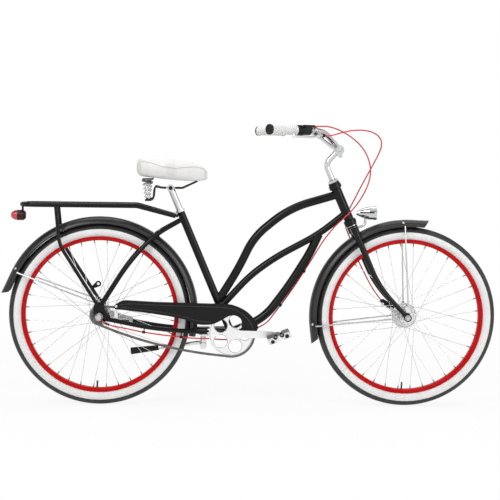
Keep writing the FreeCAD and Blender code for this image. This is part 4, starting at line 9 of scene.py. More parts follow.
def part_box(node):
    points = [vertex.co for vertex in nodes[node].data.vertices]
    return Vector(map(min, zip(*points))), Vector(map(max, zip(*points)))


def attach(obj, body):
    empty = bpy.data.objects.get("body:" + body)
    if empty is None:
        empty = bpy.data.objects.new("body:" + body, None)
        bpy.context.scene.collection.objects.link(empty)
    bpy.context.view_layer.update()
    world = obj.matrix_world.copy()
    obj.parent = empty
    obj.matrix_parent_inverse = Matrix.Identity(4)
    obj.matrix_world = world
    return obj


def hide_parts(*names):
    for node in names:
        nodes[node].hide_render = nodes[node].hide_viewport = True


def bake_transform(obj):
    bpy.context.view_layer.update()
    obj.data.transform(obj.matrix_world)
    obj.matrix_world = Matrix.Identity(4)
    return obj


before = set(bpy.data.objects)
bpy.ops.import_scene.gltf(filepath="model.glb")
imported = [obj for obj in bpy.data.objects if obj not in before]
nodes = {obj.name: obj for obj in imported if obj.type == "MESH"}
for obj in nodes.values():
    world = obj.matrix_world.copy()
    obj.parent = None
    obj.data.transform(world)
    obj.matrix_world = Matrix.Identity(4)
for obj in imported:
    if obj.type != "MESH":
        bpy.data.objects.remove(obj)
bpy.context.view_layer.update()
scene = bpy.context.scene

# Places on the bicycle, in metres
rear_axle_x = -0.55061
front_axle_x = 0.57939
axle_height = 0.333
bracket_x = -0.06961
bracket_height = 0.27
sides = (("right", -1), ("left", 1))
side_view = (1, 0, 1)

# Scales and strengths that the finishes share
even = (1, 1, 1)
drift_detail = 5.0
grain_detail = 2.0
coat_roughness = 0.06
shade_share = 0.8
zone_edge = 0.0006
zone_drift_scale = 40.0
zone_gloss_scale = 60.0
zone_grain_scale = 700.0
zone_grain_strength = 0.05
zone_grain_depth = 0.0002
zone_specular = 0.24


def new_material(name):
    material = bpy.data.materials.new(name)
    material.use_nodes = True
    return material, material.node_tree, material.node_tree.nodes["Principled BSDF"]


def place_node(tree, stretch):
    place = tree.nodes.new("ShaderNodeTexCoord")
    mapping = tree.nodes.new("ShaderNodeMapping")
    mapping.inputs["Scale"].default_value = stretch
    tree.links.new(place.outputs["Object"], mapping.inputs["Vector"])
    return mapping.outputs["Vector"]


def noise(tree, scale, detail=4.0, stretch=even):
    texture = tree.nodes.new("ShaderNodeTexNoise")
    texture.inputs["Scale"].default_value = scale
    texture.inputs["Detail"].default_value = detail
    tree.links.new(place_node(tree, stretch), texture.inputs["Vector"])
    return texture.outputs["Fac"]


def cells(tree, scale):
    texture = tree.nodes.new("ShaderNodeTexVoronoi")
    texture.inputs["Scale"].default_value = scale
    tree.links.new(place_node(tree, even), texture.inputs["Vector"])
    return texture.outputs["Distance"]


def ranged(tree, value, low, high, start=0.3, end=0.7):
    span = tree.nodes.new("ShaderNodeMapRange")
    span.inputs["From Min"].default_value = start
    span.inputs["From Max"].default_value = end
    span.inputs["To Min"].default_value = low
    span.inputs["To Max"].default_value = high
    tree.links.new(value, span.inputs["Value"])
    return span.outputs["Result"]


def mixed(tree, share, first, second):
    """Colour between two others; each is a colour or another node's output."""
    mix = tree.nodes.new("ShaderNodeMix")
    mix.data_type = "RGBA"
    tree.links.new(share, mix.inputs["Factor"])
    for name, colour in (("A", first), ("B", second)):
        socket = [item for item in mix.inputs if item.name == name and item.type == "RGBA"][0]
        if isinstance(colour, tuple):
            socket.default_value = colour + (1,)
        else:
            tree.links.new(colour, socket)
    return [item for item in mix.outputs if item.type == "RGBA"][0]


def link_math(tree, operation, first, second):
    """Result of an operation on two values; each is a number or another node's output."""
    node = tree.nodes.new("ShaderNodeMath")
    node.operation = operation
    for socket, value in zip(node.inputs, (first, second)):
        if isinstance(value, float):
            socket.default_value = value
        else:
            tree.links.new(value, socket)
    return node.outputs["Value"]


def relief(tree, shader, height, strength, depth):
    bump = tree.nodes.new("ShaderNodeBump")
    bump.inputs["Strength"].default_value = strength
    bump.inputs["Distance"].default_value = depth
    tree.links.new(height, bump.inputs["Height"])
    tree.links.new(bump.outputs["Normal"], shader.inputs["Normal"])


def finish(name, dark, light, rough, metallic=0.0, coat=0.0, scale=14.0, stretch=even, grain=900.0,
           grain_strength=0.08, grain_depth=0.0002, specular=0.5):
    """Finish with a slow change of colour and gloss and a fine grain."""
    material, tree, shader = new_material(name)
    drift = noise(tree, scale, drift_detail, stretch)
    tree.links.new(mixed(tree, ranged(tree, drift, 0, 1), dark, light), shader.inputs["Base Color"])
    tree.links.new(ranged(tree, drift, rough[0], rough[1]), shader.inputs["Roughness"])
    shader.inputs["Metallic"].default_value = metallic
    shader.inputs["Coat Weight"].default_value = coat
    shader.inputs["Specular IOR Level"].default_value = specular
    shader.inputs["Coat Roughness"].default_value = coat_roughness
    relief(tree, shader, noise(tree, grain, grain_detail, stretch), grain_strength, grain_depth)
    return material


brushed = (1, 1, 6)
black_paint = finish("black_paint", (0.003, 0.003, 0.0032), (0.006, 0.006, 0.0063), (0.16, 0.24),
                     grain=420.0, grain_strength=0.04, specular=0.22)
red_paint = finish("red_paint", (0.46, 0.003, 0.004), (0.53, 0.004, 0.005), (0.3, 0.4),
                   grain=500.0, specular=0.1)
fender_paint = finish("fender_paint", (0.006, 0.006, 0.0063), (0.01, 0.01, 0.0104), (0.3, 0.38),
                      grain=420.0, grain_strength=0.03, specular=0.55)
chrome = finish("chrome", (0.56, 0.57, 0.58), (0.66, 0.665, 0.67), (0.04, 0.11),
                metallic=1.0, scale=20.0, grain=300.0, grain_strength=0.02)
silver = finish("silver_alloy", (0.75, 0.755, 0.76), (0.85, 0.85, 0.855), (0.24, 0.36),
                metallic=1.0, scale=30.0, stretch=brushed, grain=700.0, grain_strength=0.03)
bright_alloy = finish("bright_alloy", (0.88, 0.88, 0.885), (0.96, 0.96, 0.962), (0.28, 0.4),
                      metallic=1.0, scale=30.0, stretch=brushed, grain=700.0, grain_strength=0.03)
steel = finish("plain_steel", (0.5, 0.5, 0.51), (0.66, 0.66, 0.67), (0.22, 0.4), metallic=1.0, scale=40.0)
chain_steel = finish("chain_steel", (0.09, 0.09, 0.09), (0.2, 0.195, 0.19), (0.32, 0.5),
                     metallic=0.9, scale=90.0)
white_grip = finish("white_grip", (0.71, 0.71, 0.7), (0.78, 0.78, 0.77), (0.45, 0.6),
                    grain=1500.0, grain_strength=0.06)
black_plastic = finish("black_plastic", (0.006, 0.006, 0.0063), (0.014, 0.014, 0.0145), (0.36, 0.5),
                       grain=1400.0, grain_strength=0.16, grain_depth=0.0003, specular=0.25)
black_rubber = finish("black_rubber", (0.008, 0.008, 0.008), (0.018, 0.018, 0.018), (0.5, 0.68),
                      grain=1100.0, grain_strength=0.25, grain_depth=0.0004, specular=0.25)
thin_ring_grey = finish("thin_ring_grey", (0.3, 0.3, 0.31), (0.5, 0.5, 0.51), (0.1, 0.2),
                      metallic=1.0, scale=60.0)
maroon_plastic = finish("maroon_plastic", (0.02, 0.003, 0.004), (0.04, 0.005, 0.006), (0.2, 0.32),
                        specular=0.3)
red_sleeve = finish("red_sleeve", (0.55, 0.006, 0.012), (0.66, 0.012, 0.02), (0.25, 0.38),
                    coat=0.3, scale=30.0)


def zoned(name, where, start, end, near, far, rough, near_metal, far_metal):
    """Two finishes on one piece, told apart by a distance that a function of the node tree gives."""
    material, tree, shader = new_material(name)
    zone = ranged(tree, where(tree), 0, 1, start, end)
    drift = ranged(tree, noise(tree, zone_drift_scale, drift_detail), 0, 1)
    shades = []
    for colour in (near, far):
        shades.append(mixed(tree, drift, tuple(part * shade_share for part in colour), colour))
    tree.links.new(mixed(tree, zone, shades[0], shades[1]), shader.inputs["Base Color"])
    tree.links.new(ranged(tree, zone, near_metal, far_metal, 0, 1), shader.inputs["Metallic"])
    gloss = ranged(tree, noise(tree, zone_gloss_scale), rough[0], rough[1])
    tree.links.new(gloss, shader.inputs["Roughness"])
    shader.inputs["Specular IOR Level"].default_value = zone_specular
    grain = noise(tree, zone_grain_scale, grain_detail)
    relief(tree, shader, grain, zone_grain_strength, zone_grain_depth)
    return material


def distance_from(centre, keep):
    """Distance from a point, along the axes that are kept."""
    def where(tree):
        place = tree.nodes.new("ShaderNodeTexCoord")
        offset = tree.nodes.new("ShaderNodeVectorMath")
        offset.operation = "SUBTRACT"
        offset.inputs[1].default_value = centre
        flat = tree.nodes.new("ShaderNodeVectorMath")
        flat.operation = "MULTIPLY"
        flat.inputs[1].default_value = keep
        length = tree.nodes.new("ShaderNodeVectorMath")
        length.operation = "LENGTH"
        tree.links.new(place.outputs["Object"], offset.inputs[0])
        tree.links.new(offset.outputs["Vector"], flat.inputs[0])
        tree.links.new(flat.outputs["Vector"], length.inputs[0])
        return length.outputs["Value"]
    return where


def distance_from_axle(axle_x):
    return distance_from((axle_x, 0, axle_height), side_view)


def nearest_of(reaches):
    """Distance outside the nearest of several round zones, seen from the side of the bicycle."""
    def where(tree):
        least = None
        for centre, reach in reaches:
            outside = link_math(tree, "SUBTRACT", distance_from(centre, side_view)(tree), reach)
            least = outside if least is None else link_math(tree, "MINIMUM", least, outside)
        return least
    return where


# Nodes with two finishes: where the finish changes, and the colour on each side of the change
chrome_colour = (0.66, 0.665, 0.67)
silver_colour = (0.88, 0.88, 0.885)
black_colour = (0.012, 0.012, 0.012)
paint_colour = (0.006, 0.006, 0.0063)
nipple_colour = (0.22, 0.22, 0.22)
spoke_colour = (0.78, 0.78, 0.78)
chrome_rough = (0.08, 0.2)
silver_rough = (0.24, 0.36)
paint_rough = (0.16, 0.24)
spoke_rough = (0.2, 0.34)
pedal_rough = (0.3, 0.45)
clamp_place = (-0.29677, 0, 0.8)
clamp_reach = 0.0165
plate_reach = 0.056
nipple_start = 0.2615
stay_tab = [((0.5815, 0, 0.3665), 0.015)]
cable_stop = [((0.4972, 0, 0.3835), 0.016)]
black_fittings = [
    ((0.1995, 0, 0.4971), 0.012), ((0.1138, 0, 0.3707), 0.012), ((-0.2531, 0, 0.2617), 0.016),
    ((-0.3896, 0, 0.2786), 0.016), ((-0.568, 0, 0.434), 0.03), ((-0.1116, 0, 0.368), 0.008),
    ((-0.2726, 0, 0.698), 0.0065), ((-0.3425, 0, 0.6324), 0.012), ((-0.19, 0, 0.271), 0.012),
    ((-0.5596, 0, 0.379), 0.009),
]
rail_finish = zoned("saddle_rail_steel", distance_from(clamp_place, side_view), clamp_reach,
                    clamp_reach + zone_edge, chrome_colour, black_colour, chrome_rough, 1.0, 0.0)
fitting_finish = zoned("frame_fitting_steel", nearest_of(black_fittings), -zone_edge, 0.0,
                       black_colour, silver_colour, silver_rough, 0.0, 1.0)
fork_finish = zoned("fork_paint", nearest_of(stay_tab), -zone_edge, 0.0,
                    silver_colour, paint_colour, paint_rough, 1.0, 0.0)
plate_finish = zoned("brake_plate_alloy", distance_from_axle(front_axle_x), plate_reach,
                     plate_reach + zone_edge, silver_colour, paint_colour, silver_rough, 1.0, 0.0)
fork_fitting_finish = zoned("fork_fitting_steel", nearest_of(cable_stop), -zone_edge, 0.0,
                            black_colour, chrome_colour, chrome_rough, 0.0, 1.0)
spoke_finishes = {}
for name, axle_x in (("front", front_axle_x), ("rear", rear_axle_x)):
    spoke_finishes[name] = zoned(name + "_spoke_steel", distance_from_axle(axle_x), nipple_start,
                                 nipple_start + zone_edge, spoke_colour, nipple_colour, spoke_rough, 1.0, 1.0)

# Pedals: rubber blocks, and openings in the end plates by place along the plate, place across it and reach
pedal_block_half = 0.0441
pedal_middle = 0.12
pedal_tilt = math.radians(21)
pedal_openings = [
    (-0.014, 0.008, 0.0085), (0.011, 0.008, 0.009), (0.027, -0.002, 0.008), (-0.028, -0.004, 0.0075),
    (0.012, -0.013, 0.005), (-0.012, -0.013, 0.005),
]


def pedal_dark(side, hand):
    """Distance outside the pedal's rubber blocks and the openings of its end plates."""
    low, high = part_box("pedal_" + side)
    along = Vector((math.cos(pedal_tilt), 0, math.sin(pedal_tilt)))
    over = Vector((-along.z, 0, along.x))
    spots = []
    for length, height, reach in pedal_openings:
        spots.append(((Vector(low) + Vector(high)) / 2 + along * length + over * height, reach))

    def where(tree):
        across = distance_from((0, hand * pedal_middle, 0), (0, 1, 0))(tree)
        blocks = link_math(tree, "SUBTRACT", across, pedal_block_half)
        return link_math(tree, "MINIMUM", blocks, nearest_of(spots)(tree))
    return where


pedal_finishes = {}
for side, hand in sides:
    pedal_finishes[side] = zoned("pedal_%s_finish" % side, pedal_dark(side, hand), -zone_edge, 0.0,
                                 black_colour, silver_colour, pedal_rough, 0.0, 1.0)

# Vinyl, tyres and lenses
vinyl_drift_scale = 9.0
vinyl_gloss_scale = 40.0
vinyl_rough = (0.38, 0.52)
pebble_scale = 620.0
pebble_strength = 0.25
pebble_depth = 0.0003
tyre_drift_scale = 30.0
tyre_drift_detail = 6.0
tyre_gloss_scale = 70.0
tyre_rough = (0.5, 0.7)
tread_colours = ((0.016, 0.016, 0.016), (0.034, 0.034, 0.034))
wall_colours = ((0.76, 0.76, 0.757), (0.82, 0.82, 0.813))
tread_start = 0.3135
tread_edge = 0.0008
bead_radius = 0.2868
rib_scale = 1400.0
rib_strength = 0.25
rib_depth = 0.0004
lens_drift_scale = 25.0
lens_shade_share = 0.85
lens_rib_strength = 0.4
lens_rib_depth = 0.0006


def leather(name, dark, light):
    """White vinyl with a fine pebble grain."""
    material, tree, shader = new_material(name)
    drift = noise(tree, vinyl_drift_scale, drift_detail)
    tree.links.new(mixed(tree, ranged(tree, drift, 0, 1), dark, light), shader.inputs["Base Color"])
    gloss = ranged(tree, noise(tree, vinyl_gloss_scale), vinyl_rough[0], vinyl_rough[1])
    tree.links.new(gloss, shader.inputs["Roughness"])
    relief(tree, shader, cells(tree, pebble_scale), pebble_strength, pebble_depth)
    return material


def tyre_finish(name, axle_x):
    """Black tread with a pale sidewall, told apart by the distance from the axle."""
    material, tree, shader = new_material(name)
    length = distance_from_axle(axle_x)(tree)
    drift = ranged(tree, noise(tree, tyre_drift_scale, tyre_drift_detail), 0, 1)
    tread = mixed(tree, drift, tread_colours[0], tread_colours[1])
    wall = mixed(tree, drift, wall_colours[0], wall_colours[1])
    side = mixed(tree, ranged(tree, length, 0, 1, tread_start, tread_start + tread_edge), wall, tread)
    inside = mixed(tree, ranged(tree, length, 0, 1, bead_radius - tread_edge, bead_radius), tread, side)
    tree.links.new(inside, shader.inputs["Base Color"])
    gloss = ranged(tree, noise(tree, tyre_gloss_scale), tyre_rough[0], tyre_rough[1])
    tree.links.new(gloss, shader.inputs["Roughness"])
    rings = link_math(tree, "SINE", link_math(tree, "MULTIPLY", length, rib_scale), 0.0)
    relief(tree, shader, rings, rib_strength, rib_depth)
    return material


def lens_finish(name, colour, rough, rib, see_through):
    """Moulded lens with fine ribs."""
    material, tree, shader = new_material(name)
    drift = noise(tree, lens_drift_scale)
    shade = tuple(part * lens_shade_share for part in colour)
    tree.links.new(mixed(tree, ranged(tree, drift, 0, 1), shade, colour), shader.inputs["Base Color"])
    shader.inputs["Roughness"].default_value = rough
    shader.inputs["Transmission Weight"].default_value = see_through
    wave = tree.nodes.new("ShaderNodeTexWave")
    wave.inputs["Scale"].default_value = rib
    wave.bands_direction = "Y"
    tree.links.new(place_node(tree, even), wave.inputs["Vector"])
    relief(tree, shader, wave.outputs["Fac"], lens_rib_strength, lens_rib_depth)
    return material


vinyl = leather("white_vinyl", (0.72, 0.715, 0.705), (0.78, 0.775, 0.77))
piping_vinyl = leather("piping_vinyl", (0.58, 0.575, 0.565), (0.65, 0.645, 0.635))
clear_lens = lens_finish("clear_lens", (0.95, 0.96, 0.97), rough=0.05, rib=60.0, see_through=0.9)
red_lens = lens_finish("red_lens", (0.7, 0.07, 0.1), rough=0.12, rib=70.0, see_through=0.25)

finishes = {
    black_paint: ["head_tube", "upper_tube", "lower_tube", "down_tube", "seat_tube", "bottom_bracket_shell",
                  "rear_dropouts", "chain_stays", "seat_stays", "fork_crown", "rear_rack", "chain_guard",
                  "bearing_cups", "front_brake_arm"],
    fender_paint: ["rear_fender", "front_fender"],
    red_paint: ["front_rim", "rear_rim"],
    chrome: ["stem", "handlebar", "headlight_shell", "rear_fender_stays", "front_fender_stays", "seat_post",
             "saddle_springs"],
    rail_finish: ["saddle_frame"],
    pedal_finishes["right"]: ["pedal_right"],
    pedal_finishes["left"]: ["pedal_left"],
    plate_finish: ["front_brake_plate"],
    silver: ["front_hub", "rear_hub", "brake_lever_bracket", "brake_lever", "kickstand_bracket",
             "kickstand_leg"],
    bright_alloy: ["chainring", "crank_arms"],
    steel: ["front_axle", "rear_axle"],
    fork_finish: ["fork_blades"],
    fork_fitting_finish: ["fork_fasteners"],
    fitting_finish: ["frame_fasteners"],
    spoke_finishes["front"]: ["front_spokes"],
    spoke_finishes["rear"]: ["rear_spokes"],
    chain_steel: ["chain", "rear_sprocket"],
    white_grip: ["grips"],
    black_plastic: ["grip_caps", "twist_shifter", "shifter_body"],
    maroon_plastic: ["tail_light_body"],
    black_rubber: ["kickstand_foot"],
    red_sleeve: ["shift_cable", "shift_cable_loop", "front_brake_cable"],
    vinyl: ["saddle_cover"],
    clear_lens: ["headlight_lens"],
    red_lens: ["tail_light_lens"],
    tyre_finish("front_tyre_rubber", front_axle_x): ["front_tyre"],
    tyre_finish("rear_tyre_rubber", rear_axle_x): ["rear_tyre"],
}
for material, names in finishes.items():
    for name in names:
        nodes[name].data.materials.clear()
        nodes[name].data.materials.append(material)

# Fineness of the added meshes
tube_corners = 12
wire_corners = 8
turned_corners = 20
wide_turned_corners = 32
cup_corners = 40
sharp_turn = math.radians(40)
line_order = 3
line_steps = 8
ring_steps = 48
turn_steps = 40
ray_start = 0.5


def add_mesh(name, points, faces, material, smooth=True):
    mesh = bpy.data.meshes.new(name)
    mesh.from_pydata([tuple(point) for point in points], [], faces)
    mesh.validate()
    mesh.update()
    if smooth:
        mesh.polygons.foreach_set("use_smooth", [True] * len(mesh.polygons))
    mesh.materials.append(material)
    piece = bpy.data.objects.new(name, mesh)
    scene.collection.objects.link(piece)
    return piece


def ring_faces(rows, count):
    """Faces of a closed skin over rows of points, with a flat face at each end."""
    faces = []
    for row in range(rows - 1):
        for step in range(count):
            nearby = (step + 1) % count
            faces.append((row * count + step, row * count + nearby, (row + 1) * count + nearby,
                          (row + 1) * count + step))
    faces.append(tuple(reversed(range(count))))
    faces.append(tuple(range((rows - 1) * count, rows * count)))
    return faces


def round_way(normal, side, turn):
    return normal * math.cos(turn) + side * math.sin(turn)


def tube(name, path, radius, material, count=tube_corners):
    """Round tube along a line of points, without twist."""
    points = []
    normal = None
    for number, point in enumerate(path):
        way = path[min(number + 1, len(path) - 1)] - path[max(number - 1, 0)]
        way.normalize()
        if normal is None:
            normal = way.orthogonal().normalized()
        normal = (normal - way * normal.dot(way)).normalized()
        side = way.cross(normal)
        for step in range(count):
            turn = 2 * math.pi * step / count
            points.append(point + round_way(normal, side, turn) * radius)
    return add_mesh(name, points, ring_faces(len(path), count), material)


def lathe(name, start, way, profile, material, body, count=turned_corners):
    """Round piece turned about a line; the profile gives steps along it and radii."""
    start = Vector(start)
    way = Vector(way).normalized()
    normal = way.orthogonal().normalized()
    side = way.cross(normal)
    points = []
    for along, radius in profile:
        for step in range(count):
            turn = 2 * math.pi * step / count
            points.append(start + way * along + round_way(normal, side, turn) * radius)
    piece = add_mesh(name, points, ring_faces(len(profile), count), material)
    piece.data.set_sharp_from_angle(angle=sharp_turn)
    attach(piece, body)


def side_ring(name, centre, radius, wire, material, body):
    """Round wire in the side view's plane."""
    line = []
    for step in range(ring_steps + 1):
        turn = 2 * math.pi * step / ring_steps
        line.append(Vector(centre) + Vector((radius * math.cos(turn), 0, radius * math.sin(turn))))
    piece = tube(name, line, wire, material, wire_corners)
    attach(piece, body)


def smooth_line(route):
    """Points of the smooth line that a route's points steer."""
    curve = bpy.data.curves.new("route", "CURVE")
    curve.dimensions = "3D"
    spline = curve.splines.new("NURBS")
    spline.points.add(len(route) - 1)
    for knot, point in zip(spline.points, route):
        knot.co = (point[0], point[1], point[2], 1)
    spline.order_u = line_order
    spline.use_endpoint_u = True
    spline.resolution_u = line_steps
    holder = bpy.data.objects.new("route", curve)
    mesh = bpy.data.meshes.new_from_object(holder)
    points = [vertex.co.copy() for vertex in mesh.vertices]
    bpy.data.objects.remove(holder)
    bpy.data.meshes.remove(mesh)
    bpy.data.curves.remove(curve)
    return points


def surface_of(mesh):
    """Search tree of a mesh's surface."""
    return BVHTree.FromPolygons([vertex.co for vertex in mesh.vertices],
                                [tuple(polygon.vertices) for polygon in mesh.polygons])


def side_point(surface, x, z, hand):
    """Outermost point of a surface on one side of the bicycle, at a place in the side view."""
    return surface.ray_cast(Vector((x, hand * ray_start, z)), Vector((0, -hand, 0)))[0]


# Padded saddle: a crowned pad, broad behind and narrow at the nose. Its stations give the place along it and
# the half width, the top and the underside there; its section gives places across and up one half of it
saddle_setback = 0.131
saddle_rear_x = rear_axle_x + saddle_setback
saddle_length = 0.257
saddle_half_width = 0.116
saddle_low_height = 0.826
saddle_depth = 0.084
saddle_station_shares = [
    (0.0, 0.48, 0.93, 0.25), (0.06, 0.86, 1.0, 0.17), (0.2, 1.0, 1.0, 0.12), (0.4, 0.84, 0.95, 0.05),
    (0.58, 0.5, 0.9, 0.0), (0.78, 0.3, 0.84, -0.03), (0.94, 0.22, 0.66, 0.0), (1.0, 0.13, 0.4, 0.06),
]
section_shares = [
    (0.0, 0.0), (0.45, 0.0), (0.8, 0.02), (0.93, 0.12), (0.99, 0.3), (1.0, 0.46), (0.97, 0.64), (0.9, 0.78),
    (0.8, 0.865), (0.6, 0.94), (0.32, 0.985),
]
ease_share = 0.5
saddle_steps = 44
end_share = 0.05
end_shrink_share = 0.84
pad_start_share = 0.95
under_slope = -0.75
pad_voxel = 0.005
pad_pressure = 4.0
pad_most = 0.005
pad_frames = 20


def eased(stations, along):
    """Smooth value between stations, without overshoot."""
    for first, second in zip(stations, stations[1:]):
        if along <= second[0]:
            share = (along - first[0]) / (second[0] - first[0])
            smooth = share * share * (3 - 2 * share)
            share = smooth * ease_share + share * (1 - ease_share)
            return [start + (end - start) * share for start, end in zip(first[1:], second[1:])]
    return list(stations[-1][1:])


def saddle_frame_at(along):
    """Place, half width, underside and top of the pad at a share of its length."""
    width, top, bottom = eased(saddle_station_shares, along)
    low = saddle_low_height + saddle_depth * bottom
    high = saddle_low_height + saddle_depth * top
    return saddle_rear_x + saddle_length * along, saddle_half_width * width, low, high


def saddle_ring(along, shrink):
    """Outline across the pad at a share of its length."""
    x, half, low, high = saddle_frame_at(along)
    middle = (low + high) / 2
    shares = section_shares + [(0.0, 1.0)] + [(-y, z) for y, z in reversed(section_shares[1:])]
    outline = []
    for y, z in shares:
        height = low + (high - low) * z
        outline.append(Vector((x, half * y * shrink, middle + (height - middle) * shrink)))
    return outline


def pad_rings(scale):
    """Outlines along the pad, drawn in at its rounded ends."""
    rings = []
    for step in range(saddle_steps + 1):
        along = step / saddle_steps
        edge = min(1, min(along, 1 - along) / end_share)
        shrink = end_shrink_share + (1 - end_shrink_share) * math.sqrt(1 - (1 - edge) ** 2)
        rings.append(saddle_ring(along, shrink * scale))
    return rings


def evaluated_mesh(piece):
    graph = bpy.context.evaluated_depsgraph_get()
    return bpy.data.meshes.new_from_object(piece.evaluated_get(graph))


def swap_mesh(piece, mesh):
    piece.modifiers.clear()
    old = piece.data
    piece.data = mesh
    bpy.data.meshes.remove(old)


def swollen(piece, voxel, pressure, most, last_frame):
    """Blow a pad up a little as cloth, with its underside held and each point's travel capped."""
    remesh = piece.modifiers.new("even_cells", "REMESH")
    remesh.mode = "VOXEL"
    remesh.voxel_size = voxel
    swap_mesh(piece, evaluated_mesh(piece))
    rest = [vertex.co.copy() for vertex in piece.data.vertices]
    held = piece.vertex_groups.new(name="underside")
    under = [vertex.index for vertex in piece.data.vertices if vertex.normal.z < under_slope]
    held.add(under, 1.0, "REPLACE")
    cloth = piece.modifiers.new("cover", "CLOTH")
    cloth.settings.use_pressure = True
    cloth.settings.uniform_pressure_force = pressure
    cloth.settings.effector_weights.gravity = 0
    cloth.settings.vertex_group_mass = "underside"
    for number in range(1, last_frame + 1):
        scene.frame_set(number)
    moved = evaluated_mesh(piece)
    scene.frame_set(1)
    for vertex, origin in zip(moved.vertices, rest):
        step = vertex.co - origin
        if step.length > most:
            vertex.co = origin + step * (most / step.length)
    swap_mesh(piece, moved)
    piece.vertex_groups.clear()


pad_rows = pad_rings(pad_start_share)
pad_points = [point for row in pad_rows for point in row]
saddle = add_mesh("saddle_pad", pad_points, ring_faces(len(pad_rows), len(pad_rows[0])), vinyl)
swollen(saddle, pad_voxel, pad_pressure, pad_most, pad_frames)
saddle.data.polygons.foreach_set("use_smooth", [True] * len(saddle.data.polygons))
saddle.data.materials.clear()
saddle.data.materials.append(vinyl)
rounding = saddle.modifiers.new("rounding", "SUBSURF")
rounding.levels = 1
rounding.render_levels = 1
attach(saddle, "saddle")
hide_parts("saddle_cover")

# Piping along the pad's upper edge, which dips along the waist, laid on the swollen cover
piping_radius = 0.0021
first_row = 2
seam_station_shares = [
    (0.0, 0.87), (0.19, 0.8), (0.41, 0.63), (0.55, 0.64), (0.73, 0.74), (0.93, 0.86), (1.0, 0.88),
]


def seam_point(along, hand):
    """Point of one side of the pad at the seam's height."""
    x, half, low, high = saddle_frame_at(along)
    height_share = eased(seam_station_shares, along)[0]
    for first, second in zip(section_shares, section_shares[1:]):
        if first[1] <= height_share <= second[1]:
            part = (height_share - first[1]) / (second[1] - first[1])
            width_share = first[0] + (second[0] - first[0]) * part
            return Vector((x, hand * half * width_share, low + (high - low) * height_share))


cover = surface_of(saddle.data)
edge_line = [seam_point(step / saddle_steps, 1) for step in range(saddle_steps, first_row, -1)]
edge_line += [seam_point(step / saddle_steps, -1) for step in range(first_row + 1, saddle_steps + 1)]
edge_line = [cover.find_nearest(point)[0] for point in edge_line]
piping = tube("saddle_piping", smooth_line(edge_line), piping_radius, piping_vinyl, wire_corners)
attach(piping, "saddle")

# Coil springs under the saddle
spring_setback = 0.17
spring_x = rear_axle_x + spring_setback
spring_y = 0.076
spring_bottom = 0.763
spring_top = 0.8327
spring_bottom_radius = 0.008
spring_top_radius = 0.02
spring_wire = 0.0024
spring_turns = 5
# The coils within a short reach of the top are darker steel as painted shade under the saddle; the rest are
# bright chrome
shaded_top_reach = 0.016
coil_fade = 0.006
painted_shade_colour = (0.16, 0.16, 0.165)
spring_rough = (0.1, 0.2)
spring_shaded_finish = zoned("spring_chrome_painted_shade", distance_from((spring_x, 0, spring_top), (0, 0, 1)), shaded_top_reach,
                      shaded_top_reach + coil_fade, painted_shade_colour, silver_colour, spring_rough, 1.0, 1.0)
for side, hand in sides:
    line = []
    for step in range(spring_turns * turn_steps + 1):
        share = step / (spring_turns * turn_steps)
        angle = 2 * math.pi * spring_turns * share
        radius = spring_bottom_radius + (spring_top_radius - spring_bottom_radius) * share
        line.append(Vector((spring_x + radius * math.cos(angle), hand * spring_y + radius * math.sin(angle),
                            spring_bottom + (spring_top - spring_bottom) * share)))
    spring = tube("saddle_spring_" + side, line, spring_wire, spring_shaded_finish)
    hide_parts("saddle_springs")
    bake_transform(spring)

# Loop of the shift cable, held by the shifter and by the frame
cable_radius = 0.0025
loop_route = [
    (0.2083, -0.2115, 1.0289), (0.2271, -0.1955, 1.0288), (0.2574, -0.17, 1.031), (0.2974, -0.146, 1.021),
    (0.3394, -0.124, 1.001), (0.3774, -0.104, 0.974), (0.4044, -0.088, 0.944), (0.4214, -0.075, 0.912),
    (0.4304, -0.064, 0.878), (0.4294, -0.054, 0.844), (0.4194, -0.047, 0.81), (0.4044, -0.042, 0.778),
    (0.3854, -0.039, 0.748), (0.3624, -0.038, 0.72), (0.3374, -0.038, 0.696), (0.309, -0.0334, 0.6708),
    (0.2956, -0.0241, 0.6522),
]
loop = tube("shift_cable_loop_sleeve", smooth_line(loop_route), cable_radius, red_sleeve)
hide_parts("shift_cable_loop")
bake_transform(loop)

# Fender rivets, by name, body, wheel and angle about its axle
rivet_wheel_radius = 0.35
rivet_y = 0.0236
rivet_out_share = 0.695
rivet_side_share = 0.719
rivet_profile = [(-0.0008, 0.0046), (0.0004, 0.0046), (0.0012, 0.0041), (0.0019, 0.003), (0.0023, 0.0014)]
rivets = [
    ("front_fender_rivet", "fork", front_axle_x, 93.0), ("front_tail_rivet", "fork", front_axle_x, 185.0),
    ("rear_fender_rivet", "frame", rear_axle_x, 151.5),
]
for name, body, axle_x, angle in rivets:
    for side, hand in sides:
        out = Vector((math.cos(math.radians(angle)), 0, math.sin(math.radians(angle))))
        place = Vector((axle_x, hand * rivet_y, axle_height)) + out * rivet_wheel_radius
        way = out * rivet_out_share + Vector((0, hand * rivet_side_share, 0))
        lathe("%s_%s" % (name, side), place, way, rivet_profile, chrome, body)

